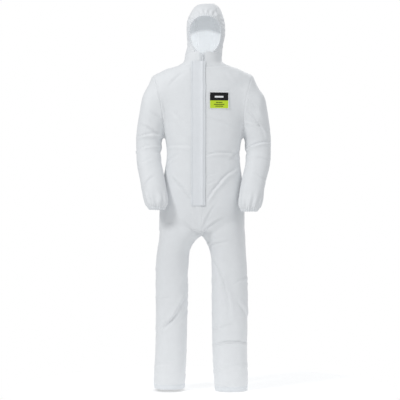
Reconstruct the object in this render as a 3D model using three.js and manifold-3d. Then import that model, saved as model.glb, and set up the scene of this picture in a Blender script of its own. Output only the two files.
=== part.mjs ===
// A hooded chemical protective coverall, in the shape it takes on a standing wearer.
// Lengths are in millimetres. Heights are measured up from the lower leg hem, and the
// finished group is lowered so that its origin is where the wearer's neck meets the shoulders.
// +X is the wearer's left, -Y is the wearer's front and +Z is up.
import * as THREE from "three";
import { mergeVertices } from "three/addons/utils/BufferGeometryUtils.js";
import Module from "manifold-3d";

const wasm = await Module();
wasm.setup();

// ---------------------------------------------------------------- driving dimensions

// Cloth, seams and clearances.
const WALL = 2.4; // every fabric wall, far thicker than the real 0.3 mm cloth
const SEAM_GAP = 0.3; // between two panels that meet at a seam
const SEAT_GAP = 0.3; // between a piece and the cloth that it is sewn to

// Heights of the wearer's landmarks above the lower hem.
const KNEE_HEIGHT = 490;
const INSEAM_HEIGHT = 722;
const HIP_HEIGHT = 870;
const WAIST_HEIGHT = 1098;
const ARMPIT_HEIGHT = 1187;
const ELBOW_HEIGHT = 1140;
const SHOULDER_HEIGHT = 1466;
const NECK_HEIGHT = 1512;
const CHIN_HEIGHT = 1569;
const BROW_HEIGHT = 1731;
const CROWN_HEIGHT = 1798;

// Half widths and depths of the body tube.
const HIP_HALF_WIDTH = 200;
const WAIST_HALF_WIDTH = 171;
const CHEST_HALF_WIDTH = 184;
const SHOULDER_HALF_WIDTH = 233;
const NECK_HALF_WIDTH = 86;
const HEAD_HALF_WIDTH = 88;
const BELLY_FRONT = -131;
const CROTCH_FRONT = -120;
const SEAT_BACK = 130;
const WAIST_BACK = 98;
const SHOULDER_BLADE_BACK = 124;
const NAPE_BACK = 82;
const HEAD_BACK = 118;
const HEAD_FRONT = 100;
const SQUARENESS = 2.4; // of a body section: 2 is an ellipse, and more is squarer
const SIDE_SEAM_Y = 6; // side, shoulder and leg seams lie in this plane
const HEAD_TURN = 14; // how far the hood leans to the wearer's left

// The front edge is straight in side view, so that the zip can run in it.
const ZIP_FOOT = { height: 866, y: -132 };
const ZIP_HEAD = { height: CHIN_HEIGHT + 2, y: -90 };

// Zip and storm flap, across the front from the zip's centre.
const ZIP_X = 0;
const TAPE_WIDTH = 11;
const TAPE_THICKNESS = 0.8;
const COIL_WIDTH = 2.4;
const COIL_THICKNESS = 2.4;
const COIL_SPLIT = 0.9; // half of the gap between the two coils
const STOP_LENGTH = 5;
const SLIDER_LENGTH = 12;
const SLIDER_WALL = 1.1;
const PULL_LENGTH = 20;
const FLAP_HINGE_X = -44; // the flap's sewn edge
const FLAP_EDGE_X = 10; // its free edge
const FLAP_RISE = 6.6; // over the slider
const FLAP_THICKNESS = 1.2;
const FLAP_SEAM_WIDTH = 6;
const ADHESIVE_WIDTH = 3.6;

// Hood opening.
const FACE_HALF_WIDTH = 72;
const FACE_SILL_HALF_WIDTH = 33;
const FACE_HEM = 9;
const BROW_CORNER_HEIGHT = 1684; // the centre panel's seams meet the opening here
const CROWN_SEAM_HALF_WIDTH = 45; // from the middle of the hood to each seam over the crown
const NAPE_SEAM_HALF_WIDTH = 34;
const NAPE_HEIGHT = 1535;

// Arms and legs, with the small differences between the two sides of a relaxed stance.
const ARMS = [
  { side: "right", sign: -1, elbowX: 250, cuffX: 211, cuffHeight: 840 },
  { side: "left", sign: 1, elbowX: 258, cuffX: 215, cuffHeight: 832 },
];
const UPPER_ARM_HALF_WIDTH = 73;
const ELBOW_HALF_WIDTH = 62;
const FOREARM_HALF_WIDTH = 57;
const CUFF_HALF_WIDTH = 33;
const CUFF_REACH = 140; // how far the cuffs hang in front of the side seams
const ARMHOLE_BOW = 10; // how far the armhole seam bows in from a straight line
const CUFF_HEM = 13;
const LEGS = [
  { side: "right", sign: -1, kneeX: 142, kneeHalf: 75, hemX: 156, hemHalf: 70, hemHeight: 10 },
  { side: "left", sign: 1, kneeX: 127, kneeHalf: 84, hemX: 132, hemHalf: 74, hemHeight: 0 },
];
const CROTCH_X = -4;
const LEG_HEM = 22;

// Small sewn pieces.
const LABEL = { width: 90, height: 80, x: 76, middle: 1343, thickness: 1 };
const SIZE_LABEL = { width: 46, height: 30, below: 12, thickness: 1 };
const WAIST_ELASTIC = { height: 10, thickness: 1.2 };

// Facets.
const BODY_FACETS = 28;
const LIMB_FACETS = 16;
const LONGEST_STEP = 75; // between two rings of a tube
const RUN_OUT = 25; // how far a hollow runs out of an open end

// ---------------------------------------------------------------- materials

const material = (color, roughness) => new THREE.MeshStandardMaterial({ color, roughness });
const CLOTH = material(0xeef1f4, 0.75);
const HEM_CLOTH = material(0xe6eaee, 0.8);
const ELASTIC = material(0xf2f2ee, 0.9);
const ZIP_PLASTIC = material(0xe4e7ea, 0.4);
const TAPE = material(0xe9ecef, 0.85);
const ADHESIVE = material(0xd9dcd2, 0.3);
const LABEL_FILM = material(0xf8f8f8, 0.45);

// ---------------------------------------------------------------- solids

const solidOf = (geometry) => {
  const bare = geometry.clone();
  bare.deleteAttribute("normal");
  bare.deleteAttribute("uv");
  const merged = mergeVertices(bare, 1e-4);
  return new wasm.Manifold(new wasm.Mesh({
    numProp: 3,
    vertProperties: new Float32Array(merged.attributes.position.array),
    triVerts: new Uint32Array(merged.index.array),
  }));
};

const geometryOf = (solid) => {
  const mesh = solid.getMesh();
  const geometry = new THREE.BufferGeometry();
  geometry.setAttribute("position", new THREE.BufferAttribute(mesh.vertProperties, 3));
  geometry.setIndex(new THREE.BufferAttribute(mesh.triVerts, 1));
  geometry.computeVertexNormals();
  return geometry;
};

// A box between two corners.
const block = (low, high) => {
  const size = high.map((h, i) => h - low[i]);
  const middle = high.map((h, i) => (h + low[i]) / 2);
  return solidOf(new THREE.BoxGeometry(...size).translate(...middle));
};

// Everything within FAR of a point, on the side of a plane that its normal points to.
const FAR = 4000;
const halfSpace = (point, normal) => {
  const box = new THREE.BoxGeometry(FAR, FAR, FAR).translate(0, 0, FAR / 2);
  const turn = new THREE.Quaternion().setFromUnitVectors(
    new THREE.Vector3(0, 0, 1),
    new THREE.Vector3(...normal).normalize(),
  );
  return solidOf(box.applyQuaternion(turn).translate(...point));
};

// The two halves of a solid about a plane, a seam's gap apart. The first is on the normal's side.
const splitAt = (solid, point, normal) => {
  const unit = new THREE.Vector3(...normal).normalize();
  const shifted = (by) => point.map((p, i) => p + unit.getComponent(i) * by);
  const back = unit.clone().negate().toArray();
  return [
    solid.intersect(halfSpace(shifted(SEAM_GAP / 2), unit.toArray())),
    solid.intersect(halfSpace(shifted(-SEAM_GAP / 2), back)),
  ];
};

// A smooth value between rows of numbers that are sorted by their first, the height.
const between = (rows, height) => {
  const last = rows.length - 1;
  const slope = (k, field) => {
    const low = rows[Math.max(k - 1, 0)];
    const high = rows[Math.min(k + 1, last)];
    return (high[field] - low[field]) / (high[0] - low[0]);
  };
  if (height < rows[0][0]) {
    return rows[0].map((value, field) => value + slope(0, field) * (height - rows[0][0]));
  }
  const above = rows.findIndex((row, k) => k > 0 && height <= row[0]);
  const i = above < 0 ? last - 1 : above - 1;
  const [a, b] = [rows[i], rows[i + 1]];
  const span = b[0] - a[0];
  const t = (height - a[0]) / span;
  const ease = t * t * (3 - 2 * t);
  return a.map((_, field) =>
    a[field] * (1 - ease) + b[field] * ease +
    span * slope(i, field) * t * (1 - t) ** 2 - span * slope(i + 1, field) * t * t * (1 - t));
};

// The heights of a tube's rings: its rows, and even steps between rows that are far apart.
const levelsOf = (rows, runOut) => {
  const levels = runOut ? [rows[0][0] - runOut] : [];
  for (let k = 0; k + 1 < rows.length; k++) {
    const span = rows[k + 1][0] - rows[k][0];
    const steps = Math.ceil(span / LONGEST_STEP);
    for (let s = 0; s < steps; s++) levels.push(rows[k][0] + (span * s) / steps);
  }
  return [...levels, rows.at(-1)[0]];
};

// The depth of a section's front or back at a place across it. 1 is the back and -1 the front.
const depthAt = ([, x, half, front, back, power], at, side) => {
  const share = Math.min(Math.abs((at - x) / half), 1) ** power;
  return (front + back) / 2 + side * ((back - front) / 2) * (1 - share) ** (1 / power);
};

// A closed tube through level rings. A row is [height, x, half width, front y, back y, squareness].
const tube = (rows, facets, runOut = 0) => {
  const levels = levelsOf(rows, runOut);
  const steps = levels.length - 1;
  const positions = [];
  const index = [];
  for (const height of levels) {
    const [, x, half, front, back, power] = between(rows, height);
    for (let f = 0; f < facets; f++) {
      const angle = (2 * Math.PI * (f + 0.5)) / facets;
      const rounded = (v) => Math.sign(v) * Math.abs(v) ** (2 / power);
      positions.push(x + half * rounded(Math.cos(angle)));
      positions.push((front + back) / 2 + ((back - front) / 2) * rounded(Math.sin(angle)), height);
    }
  }
  for (const height of [levels[0], levels.at(-1)]) {
    const [, x, , front, back] = between(rows, height);
    positions.push(x, (front + back) / 2, height);
  }
  const [foot, head] = [levels.length * facets, levels.length * facets + 1];
  for (let s = 0; s < steps; s++) {
    for (let f = 0; f < facets; f++) {
      const [a, b] = [s * facets + f, s * facets + ((f + 1) % facets)];
      index.push(a, b, a + facets, b, b + facets, a + facets);
    }
  }
  for (let f = 0; f < facets; f++) {
    const g = (f + 1) % facets;
    index.push(head, steps * facets + f, steps * facets + g);
  }
  for (let f = 0; f < facets; f++) index.push(foot, (f + 1) % facets, f);
  const geometry = new THREE.BufferGeometry();
  geometry.setAttribute("position", new THREE.Float32BufferAttribute(positions, 3));
  geometry.setIndex(index);
  geometry.userData.facets = facets;
  return geometry;
};

// A tube moved inwards along its normals, or outwards for a negative amount. Its foot stays level.
const inset = (geometry, amount) => {
  const moved = geometry.clone();
  const faces = Array.from(geometry.index.array);
  moved.setIndex(faces.slice(0, -3 * geometry.userData.facets));
  moved.computeVertexNormals();
  const { position, normal } = moved.attributes;
  const foot = position.getZ(0);
  for (let i = 0; i < position.count; i++) {
    const at = new THREE.Vector3().fromBufferAttribute(position, i);
    const out = new THREE.Vector3().fromBufferAttribute(normal, i);
    const level = at.z === foot;
    at.addScaledVector(out, -amount);
    position.setXYZ(i, at.x, at.y, level ? foot : at.z);
  }
  moved.setIndex(faces);
  return moved;
};

// ---------------------------------------------------------------- tubes of the garment

const frontLine = (height) => {
  const rise = (height - ZIP_FOOT.height) / (ZIP_HEAD.height - ZIP_FOOT.height);
  return ZIP_FOOT.y + (ZIP_HEAD.y - ZIP_FOOT.y) * rise;
};

// From the crotch up over the shoulders and neck to the crown of the hood.
const bodyRows = [
  [INSEAM_HEIGHT + 22, -3, HIP_HALF_WIDTH, SEAT_BACK - 4, SQUARENESS],
  [HIP_HEIGHT - 60, -3, HIP_HALF_WIDTH, SEAT_BACK + 2, SQUARENESS],
  [HIP_HEIGHT, -2, HIP_HALF_WIDTH - 1, SEAT_BACK, SQUARENESS],
  [WAIST_HEIGHT - 130, 0, HIP_HALF_WIDTH - 13, (SEAT_BACK + WAIST_BACK) / 2 + 5, SQUARENESS],
  [WAIST_HEIGHT, 3, WAIST_HALF_WIDTH, WAIST_BACK, SQUARENESS],
  [ARMPIT_HEIGHT, 4, CHEST_HALF_WIDTH, WAIST_BACK + 14, SQUARENESS],
  [SHOULDER_HEIGHT - 166, 4, CHEST_HALF_WIDTH + 26, SHOULDER_BLADE_BACK, SQUARENESS],
  [SHOULDER_HEIGHT - 66, 2, SHOULDER_HALF_WIDTH + 13, SHOULDER_BLADE_BACK - 2, 2.2],
  [SHOULDER_HEIGHT - 23, 0, SHOULDER_HALF_WIDTH + 19, SHOULDER_BLADE_BACK - 12, 2],
  [SHOULDER_HEIGHT - 12, 0, SHOULDER_HALF_WIDTH + 14, SHOULDER_BLADE_BACK - 16, 1.9],
  [SHOULDER_HEIGHT, 0, SHOULDER_HALF_WIDTH, SHOULDER_BLADE_BACK - 20, 1.8],
  [SHOULDER_HEIGHT + 14, 0, SHOULDER_HALF_WIDTH - 28, NAPE_BACK + 17, 1.7],
  [NECK_HEIGHT - 18, 0, NECK_HALF_WIDTH + 80, NAPE_BACK + 12, 1.65],
  [NECK_HEIGHT - 4, 0, NECK_HALF_WIDTH + 35, NAPE_BACK + 5, 1.8],
  [NECK_HEIGHT + 11, 0, NECK_HALF_WIDTH + 5, NAPE_BACK, 2.1],
  [NAPE_HEIGHT + 5, 1, NECK_HALF_WIDTH, NAPE_BACK - 2, 2.2],
  [CHIN_HEIGHT, 4, NECK_HALF_WIDTH - 1, NAPE_BACK + 4, 2.2],
].map(([height, x, half, back, power]) => {
  const front = height < ZIP_FOOT.height ? BELLY_FRONT : frontLine(height);
  return [height, x, half, front, back, power];
});
bodyRows[0][3] = CROTCH_FRONT;
bodyRows.push(
  [CHIN_HEIGHT + 34, HEAD_TURN - 4, HEAD_HALF_WIDTH - 6, 5 - HEAD_FRONT, HEAD_BACK - 20, 2.2],
  [CHIN_HEIGHT + 82, HEAD_TURN, HEAD_HALF_WIDTH, 2 - HEAD_FRONT, HEAD_BACK - 5, 2.3],
  [BROW_HEIGHT - 36, HEAD_TURN, HEAD_HALF_WIDTH, -HEAD_FRONT, HEAD_BACK, 2.3],
  [BROW_HEIGHT - 6, HEAD_TURN, HEAD_HALF_WIDTH - 5, 2 - HEAD_FRONT, HEAD_BACK - 4, 2.3],
  [CROWN_HEIGHT - 47, HEAD_TURN + 1, HEAD_HALF_WIDTH - 15, 14 - HEAD_FRONT, HEAD_BACK - 18, 2.3],
  [CROWN_HEIGHT - 24, HEAD_TURN + 2, HEAD_HALF_WIDTH - 26, 32 - HEAD_FRONT, HEAD_BACK - 36, 2.3],
  [CROWN_HEIGHT - 6, HEAD_TURN + 3, HEAD_HALF_WIDTH - 42, 58 - HEAD_FRONT, HEAD_BACK - 64, 2.3],
  [CROWN_HEIGHT, HEAD_TURN + 3, HEAD_HALF_WIDTH - 54, 72 - HEAD_FRONT, HEAD_BACK - 80, 2.3],
);

// From the elastic cuff up to a stub inside the shoulder.
const armRows = ({ sign, elbowX, cuffX, cuffHeight }) => {
  const reach = (share) => -CUFF_REACH * share;
  return [
    [cuffHeight, cuffX - 1, CUFF_HALF_WIDTH, reach(1), CUFF_HALF_WIDTH + 3],
    [cuffHeight + CUFF_HEM, cuffX, CUFF_HALF_WIDTH + 11, reach(0.97), CUFF_HALF_WIDTH + 12],
    [cuffHeight + 32, cuffX + 2, FOREARM_HALF_WIDTH - 5, reach(0.93), FOREARM_HALF_WIDTH - 4],
    [cuffHeight + 65, cuffX + 8, FOREARM_HALF_WIDTH - 1, reach(0.83), FOREARM_HALF_WIDTH],
    [cuffHeight + 127, cuffX + 19, FOREARM_HALF_WIDTH, reach(0.62), FOREARM_HALF_WIDTH + 1],
    [ELBOW_HEIGHT - 100, elbowX - 5, FOREARM_HALF_WIDTH + 1, reach(0.33), ELBOW_HALF_WIDTH + 1],
    [ELBOW_HEIGHT - 40, elbowX + 1, ELBOW_HALF_WIDTH - 3, reach(0.1), ELBOW_HALF_WIDTH + 4],
    [ELBOW_HEIGHT, elbowX, ELBOW_HALF_WIDTH, 2, ELBOW_HALF_WIDTH + 8],
    [ARMPIT_HEIGHT, elbowX - 5, UPPER_ARM_HALF_WIDTH - 7, 6, UPPER_ARM_HALF_WIDTH + 1],
    [ARMPIT_HEIGHT + 53, elbowX - 14, UPPER_ARM_HALF_WIDTH - 4, 6, UPPER_ARM_HALF_WIDTH + 5],
    [SHOULDER_HEIGHT - 166, elbowX - 29, UPPER_ARM_HALF_WIDTH, 4, UPPER_ARM_HALF_WIDTH + 9],
    [SHOULDER_HEIGHT - 106, elbowX - 43, UPPER_ARM_HALF_WIDTH + 1, 4, UPPER_ARM_HALF_WIDTH + 9],
    [SHOULDER_HEIGHT - 66, 195, UPPER_ARM_HALF_WIDTH - 3, 4, UPPER_ARM_HALF_WIDTH + 2],
    [SHOULDER_HEIGHT - 36, 180, UPPER_ARM_HALF_WIDTH - 7, 4, UPPER_ARM_HALF_WIDTH - 10],
  ].map(([height, x, half, y, depth]) => [height, sign * x, half, y - depth, y + depth, 2.2]);
};

// From the hem up to a stub inside the hips, by each section's inner and outer edge.
const legRows = ({ sign, kneeX, kneeHalf, hemX, hemHalf, hemHeight }) => {
  const crotch = INSEAM_HEIGHT;
  const split = sign * CROTCH_X; // the legs meet here
  const [thighIn, thighOut] = [kneeX - kneeHalf - 9, kneeX + kneeHalf - 7];
  const [shinX, shinHalf] = [(hemX + kneeX) / 2 - 2, (hemHalf + kneeHalf) / 2 + 1];
  return [
    [hemHeight, hemX - hemHalf, hemX + hemHalf, -78, 82],
    [hemHeight + LEG_HEM + 20, hemX - hemHalf - 3, hemX + hemHalf + 3, -78, 84],
    [hemHeight + 180, shinX - shinHalf, shinX + shinHalf, -75, 86],
    [KNEE_HEIGHT - 140, kneeX + 2 - kneeHalf, kneeX + kneeHalf, -76, 86],
    [KNEE_HEIGHT, kneeX - kneeHalf, kneeX + kneeHalf, -86, 84],
    [KNEE_HEIGHT + 90, kneeX - kneeHalf - 1, kneeX + kneeHalf - 1, -94, 98],
    [crotch - 72, thighIn, thighOut, -106, 112],
    [crotch - 22, (thighIn + split) / 2, HIP_HALF_WIDTH + 2, -114, 122],
    [crotch - 3, split + 5, HIP_HALF_WIDTH + 1, -117, 125],
    [crotch + 22, split - 5, HIP_HALF_WIDTH - 2, -118, SEAT_BACK - 6],
    [crotch + 78, split - 5, HIP_HALF_WIDTH - 12, -106, SEAT_BACK - 20],
  ].map(([height, inner, outer, front, back]) =>
    [height, (sign * (inner + outer)) / 2, (outer - inner) / 2, front, back, 2.3]);
};

const bodyTube = tube(bodyRows, BODY_FACETS);
const limbTubes = (runOut) => [
  ...ARMS.map((arm) => tube(armRows(arm), LIMB_FACETS, runOut)),
  ...LEGS.map((leg) => tube(legRows(leg), LIMB_FACETS, runOut)),
];
const joined = (tubes) => tubes.map(solidOf).reduce((all, one) => all.add(one));

// A bar from front to back over an outline in X and Z.
const prism = (points, from, to) => {
  const shape = new THREE.Shape(points.map(([x, z]) => new THREE.Vector2(x, z)));
  const bar = new THREE.ExtrudeGeometry(shape, { depth: to - from, bevelEnabled: false });
  return solidOf(bar.rotateX(Math.PI / 2).translate(0, to, 0));
};

// The opening for the face, grown by a margin at its sides and top, as a bar through the hood.
const faceBar = (margin) => {
  const [half, sill] = [FACE_HALF_WIDTH + margin, FACE_SILL_HALF_WIDTH + margin];
  const high = BROW_HEIGHT + margin;
  const widest = CHIN_HEIGHT + 98;
  const shape = new THREE.Shape();
  shape.moveTo(-sill, NECK_HEIGHT);
  shape.lineTo(sill, NECK_HEIGHT);
  shape.lineTo(sill, CHIN_HEIGHT);
  shape.bezierCurveTo(sill + 20, CHIN_HEIGHT + 12, half, widest - 56, half, widest);
  shape.bezierCurveTo(half, widest + 36, half - 30, high, 0, high);
  shape.bezierCurveTo(30 - half, high, -half, widest + 36, -half, widest);
  shape.bezierCurveTo(-half, widest - 56, -sill - 20, CHIN_HEIGHT + 12, -sill, CHIN_HEIGHT);
  const outline = shape.getPoints(6).map(({ x, y }) => [x + HEAD_TURN - 1, y]);
  return prism(outline, -300, -10);
};

// ---------------------------------------------------------------- panels, cut from one skin

let skin = joined([bodyTube, ...limbTubes(0)]);
skin = skin.subtract(joined([bodyTube, ...limbTubes(RUN_OUT)].map((part) => inset(part, WALL))));

const panels = []; // [name, solid, material]
const add = (name, solid, look) => panels.push([name, solid, look]);

// A sleeve ends at a seam that bows in from the tip of the shoulder to the armpit. Below that it
// hangs clear of the body.
for (const arm of ARMS) {
  const { side, sign, cuffHeight } = arm;
  const [, torsoX, torsoHalf] = between(bodyRows, ARMPIT_HEIGHT);
  const [, sleeveX, sleeveHalf] = between(armRows(arm), ARMPIT_HEIGHT);
  const armpitX = (torsoX + sign * torsoHalf + sleeveX - sign * sleeveHalf) / 2;
  const seam = [0, 0.25, 0.5, 0.75, 1].map((share) => [
    sign * SHOULDER_HALF_WIDTH + (armpitX - sign * SHOULDER_HALF_WIDTH) * share ** 0.8 -
      sign * ARMHOLE_BOW * Math.sin(Math.PI * share),
    SHOULDER_HEIGHT + (ARMPIT_HEIGHT - SHOULDER_HEIGHT) * share,
  ]);
  const beyond = (shift) => {
    const moved = seam.map(([x, z]) => [x + sign * shift, z]);
    const outline = [
      [moved[0][0], NECK_HEIGHT], ...moved, [moved.at(-1)[0], ARMPIT_HEIGHT - 12],
      [sign * 500, ARMPIT_HEIGHT - 12], [sign * 500, NECK_HEIGHT],
    ];
    return prism(sign < 0 ? outline : outline.reverse(), -300, 300);
  };
  const hanging = solidOf(inset(tube(armRows(arm), LIMB_FACETS, RUN_OUT), -1.5))
    .subtract(halfSpace([0, 0, ARMPIT_HEIGHT - 8], [0, 0, 1]));
  const sleeve = skin.intersect(beyond(SEAM_GAP / 2).add(hanging));
  skin = skin.subtract(beyond(-SEAM_GAP / 2).add(hanging));
  const [upper, forearm] = splitAt(sleeve, [0, 0, ELBOW_HEIGHT], [0, 0, 1]);
  const [lower, cuff] = splitAt(forearm, [0, 0, cuffHeight + CUFF_HEM], [0, 0, 1]);
  add(`${side}_upper_sleeve`, upper, CLOTH);
  add(`${side}_lower_sleeve`, lower, CLOTH);
  add(`${side}_cuff_elastic`, cuff, ELASTIC);
}

// Legs end at the inseam, and each has a front and a back panel between its two seams.
const [trunk, legs] = splitAt(skin, [0, 0, INSEAM_HEIGHT], [0, 0, 1]);
for (const { side, sign, hemHeight } of LEGS) {
  const leg = legs.intersect(halfSpace([CROTCH_X, 0, 0], [sign, 0, 0]));
  const [thigh, below] = splitAt(leg, [0, 0, KNEE_HEIGHT], [0, 0, 1]);
  const [shin, hem] = splitAt(below, [0, 0, hemHeight + LEG_HEM], [0, 0, 1]);
  for (const [part, solid] of [["thigh", thigh], ["shin", shin]]) {
    const [back, front] = splitAt(solid, [0, SIDE_SEAM_Y, 0], [0, 1, 0]);
    add(`${side}_${part}_front`, front, CLOTH);
    add(`${side}_${part}_back`, back, CLOTH);
  }
  add(`${side}_leg_hem`, hem, HEM_CLOTH);
}

// The zip's slot runs up the front from its foot to the chin.
const slotHalf = COIL_SPLIT + COIL_WIDTH + 2 * SEAT_GAP + TAPE_WIDTH;
const slot = block([ZIP_X - slotHalf, -300, ZIP_FOOT.height], [ZIP_X + slotHalf, -30, BROW_HEIGHT]);

// The hood leaves the collar at a plane that rises from the nape to the chin.
const hoodNormal = [0, NAPE_HEIGHT - CHIN_HEIGHT, ZIP_HEAD.y - NAPE_BACK].map((v) => -v);
const [hood, dressed] = splitAt(trunk, [0, NAPE_BACK, NAPE_HEIGHT], hoodNormal);
const [collar, torso] = splitAt(dressed.subtract(slot), [0, 0, NECK_HEIGHT], [0, -0.16, 1]);
for (const [part, solid] of [["body", torso], ["collar", collar]]) {
  const [back, front] = splitAt(solid, [0, SIDE_SEAM_Y, 0], [0, 1, 0]);
  for (const [level, half, x] of [["front", front, ZIP_X], ["back", back, 0]]) {
    const [left, right] = splitAt(half, [x, 0, 0], [1, 0, 0]);
    add(`left_${part}_${level}`, left, CLOTH);
    add(`right_${part}_${level}`, right, CLOTH);
  }
}

// The hood has an elastic hem, and a centre panel that runs over the crown to the nape.
const centreBar = (grow) => {
  const at = (x, z) => [HEAD_TURN + x, z];
  const crown = CROWN_SEAM_HALF_WIDTH + grow;
  const brow = FACE_HALF_WIDTH + grow;
  const nape = NAPE_SEAM_HALF_WIDTH + grow;
  const front = [at(-crown, CROWN_HEIGHT + 9), at(-crown, CROWN_HEIGHT - 9), at(-brow, BROW_CORNER_HEIGHT),
    at(brow, BROW_CORNER_HEIGHT), at(crown, CROWN_HEIGHT - 9), at(crown, CROWN_HEIGHT + 9)];
  const back = [at(-crown, CROWN_HEIGHT + 9), at(-crown, CROWN_HEIGHT - 9), at(-nape, NECK_HEIGHT),
    at(nape, NECK_HEIGHT), at(crown, CROWN_HEIGHT - 9), at(crown, CROWN_HEIGHT + 9)];
  return prism(front, -300, 12 + grow).add(prism(back, 11, 300));
};
const faceHem = hood.subtract(faceBar(0)).intersect(faceBar(FACE_HEM));
const hoodCloth = hood.subtract(faceBar(FACE_HEM + SEAM_GAP));
const [leftSide, rightSide] = splitAt(
  hoodCloth.subtract(centreBar(SEAM_GAP / 2)), [HEAD_TURN, 0, 0], [1, 0, 0]);
add("hood_centre_panel", hoodCloth.intersect(centreBar(-SEAM_GAP / 2)), CLOTH);
add("left_hood_side", leftSide, CLOTH);
add("right_hood_side", rightSide, CLOTH);
add("hood_face_elastic", faceHem, ELASTIC);

// Elastic sewn inside the back of the waist.
const lining = solidOf(inset(bodyTube, WALL + SEAT_GAP));
const elasticIn = solidOf(inset(bodyTube, WALL + SEAT_GAP + WAIST_ELASTIC.thickness));
const waistBelt = block(
  [-FAR / 2, SIDE_SEAM_Y, WAIST_HEIGHT - WAIST_ELASTIC.height / 2],
  [FAR / 2, FAR / 2, WAIST_HEIGHT + WAIST_ELASTIC.height / 2],
);
add("waist_elastic", lining.subtract(elasticIn).intersect(waistBelt), ELASTIC);

// The chest label is a flat patch whose back follows the chest.
const overSkin = solidOf(inset(bodyTube, -SEAT_GAP));
const zipLean = Math.atan((ZIP_HEAD.y - ZIP_FOOT.y) / (ZIP_HEAD.height - ZIP_FOOT.height));
const chest = between(bodyRows, LABEL.middle);
const [labelInner, labelOuter] = [-1, 1].map((end) =>
  depthAt(chest, LABEL.x + (end * LABEL.width) / 2, -1));
const labelBlank = new THREE.BoxGeometry(LABEL.width, 12, LABEL.height)
  .translate(0, 6 - LABEL.thickness - SEAT_GAP, 0)
  .rotateX(-zipLean)
  .rotateZ(Math.atan((labelOuter - labelInner) / LABEL.width))
  .translate(LABEL.x, depthAt(chest, LABEL.x, -1), LABEL.middle);
add("chest_label", solidOf(labelBlank).subtract(overSkin), LABEL_FILM);

// A size label lies against the inside of the nape.
const labelTop = NECK_HEIGHT - SIZE_LABEL.below;
const sizeBlank = block(
  [-SIZE_LABEL.width / 2, SIDE_SEAM_Y, labelTop - SIZE_LABEL.height],
  [SIZE_LABEL.width / 2, 200, labelTop],
);
const behindLabel = solidOf(inset(bodyTube, WALL + SEAT_GAP + SIZE_LABEL.thickness));
add("size_label", lining.subtract(behindLabel).intersect(sizeBlank), LABEL_FILM);

// ---------------------------------------------------------------- zip, slider and flap

// Here z runs up the zip from its foot, y is 0 at the outer face of the cloth and x is 0 at its middle.
const zipLength = Math.hypot(ZIP_HEAD.y - ZIP_FOOT.y, ZIP_HEAD.height - ZIP_FOOT.height);
const zipParts = []; // [name, geometry, material]
const addZip = (name, solid, look) => zipParts.push([name, geometryOf(solid), look]);
const tapeMiddle = WALL / 2;
const coilInner = COIL_SPLIT;
const coilOuter = COIL_SPLIT + COIL_WIDTH;
const tapeInner = coilOuter + SEAT_GAP;
const zipStart = SEAT_GAP + 1;
const coilFoot = zipStart + STOP_LENGTH + SEAT_GAP;
const coilHead = zipLength - 14;

// A bar with a round outer face along the zip.
const coilBar = (sign, low, high) => {
  const section = new THREE.Shape();
  section.absellipse(0, 0, COIL_WIDTH / 2, COIL_THICKNESS / 2, 0, 2 * Math.PI, false);
  const options = { depth: high - low, bevelEnabled: false, curveSegments: 5 };
  const bar = new THREE.ExtrudeGeometry(section, options);
  return solidOf(bar.translate(sign * (coilInner + COIL_WIDTH / 2), tapeMiddle, low));
};
for (const [side, sign] of [["left", 1], ["right", -1]]) {
  const edges = [sign * tapeInner, sign * (tapeInner + TAPE_WIDTH)].sort((a, b) => a - b);
  addZip(`${side}_zip_tape`, block(
    [edges[0], tapeMiddle - TAPE_THICKNESS / 2, zipStart],
    [edges[1], tapeMiddle + TAPE_THICKNESS / 2, zipLength - 6],
  ), TAPE);
  addZip(`${side}_zip_coil`, coilBar(sign, coilFoot, coilHead), ZIP_PLASTIC);
  const stop = [sign * coilInner, sign * coilOuter].sort((a, b) => a - b);
  addZip(`${side}_zip_top_stop`, block(
    [stop[0], tapeMiddle - COIL_THICKNESS / 2, coilHead + SEAT_GAP],
    [stop[1], tapeMiddle + COIL_THICKNESS / 2, coilHead + SEAT_GAP + STOP_LENGTH / 2],
  ), ZIP_PLASTIC);
}
addZip("zip_bottom_stop", block(
  [-coilOuter, tapeMiddle - COIL_THICKNESS / 2, zipStart],
  [coilOuter, tapeMiddle + COIL_THICKNESS / 2, zipStart + STOP_LENGTH],
), ZIP_PLASTIC);

// The slider is two plates joined by a thin post that passes between the coils.
const sliderHalf = coilOuter + SEAT_GAP + SLIDER_WALL + 0.4;
const channel = COIL_THICKNESS / 2 + 0.5;
const sliderTop = coilHead - 2;
const sliderFoot = sliderTop - SLIDER_LENGTH;
const plate = (sign) => {
  const near = tapeMiddle + sign * channel;
  const far = tapeMiddle + sign * (channel + SLIDER_WALL);
  const [low, high] = [Math.min(near, far), Math.max(near, far)];
  let made = block([-sliderHalf, low, sliderFoot], [sliderHalf, high, sliderTop]);
  const lip = tapeMiddle + sign * (TAPE_THICKNESS / 2 + 0.5);
  const [lipLow, lipHigh] = [Math.min(lip, near), Math.max(lip, near)];
  for (const edge of [-1, 1]) {
    const across = [edge * (sliderHalf - SLIDER_WALL), edge * sliderHalf].sort((a, b) => a - b);
    made = made.add(block([across[0], lipLow, sliderFoot], [across[1], lipHigh, sliderTop]));
  }
  return made;
};
const post = block([-0.55, tapeMiddle - channel - 0.2, sliderTop - 4],
  [0.55, tapeMiddle + channel + 0.2, sliderTop - 0.5]);
const plateFace = tapeMiddle - channel - SLIDER_WALL;
const crownRise = 3.6;
const crownMiddle = (sliderFoot + sliderTop) / 2;
const crown = block(
  [-0.9, plateFace - crownRise, crownMiddle - 4],
  [0.9, plateFace + 0.2, crownMiddle + 4],
).subtract(block(
  [-2, plateFace - crownRise + 1.1, crownMiddle - 2.7],
  [2, plateFace - 0.2, crownMiddle + 2.7],
));
addZip("zip_slider", plate(-1).add(plate(1)).add(post).add(crown), ZIP_PLASTIC);

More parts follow.
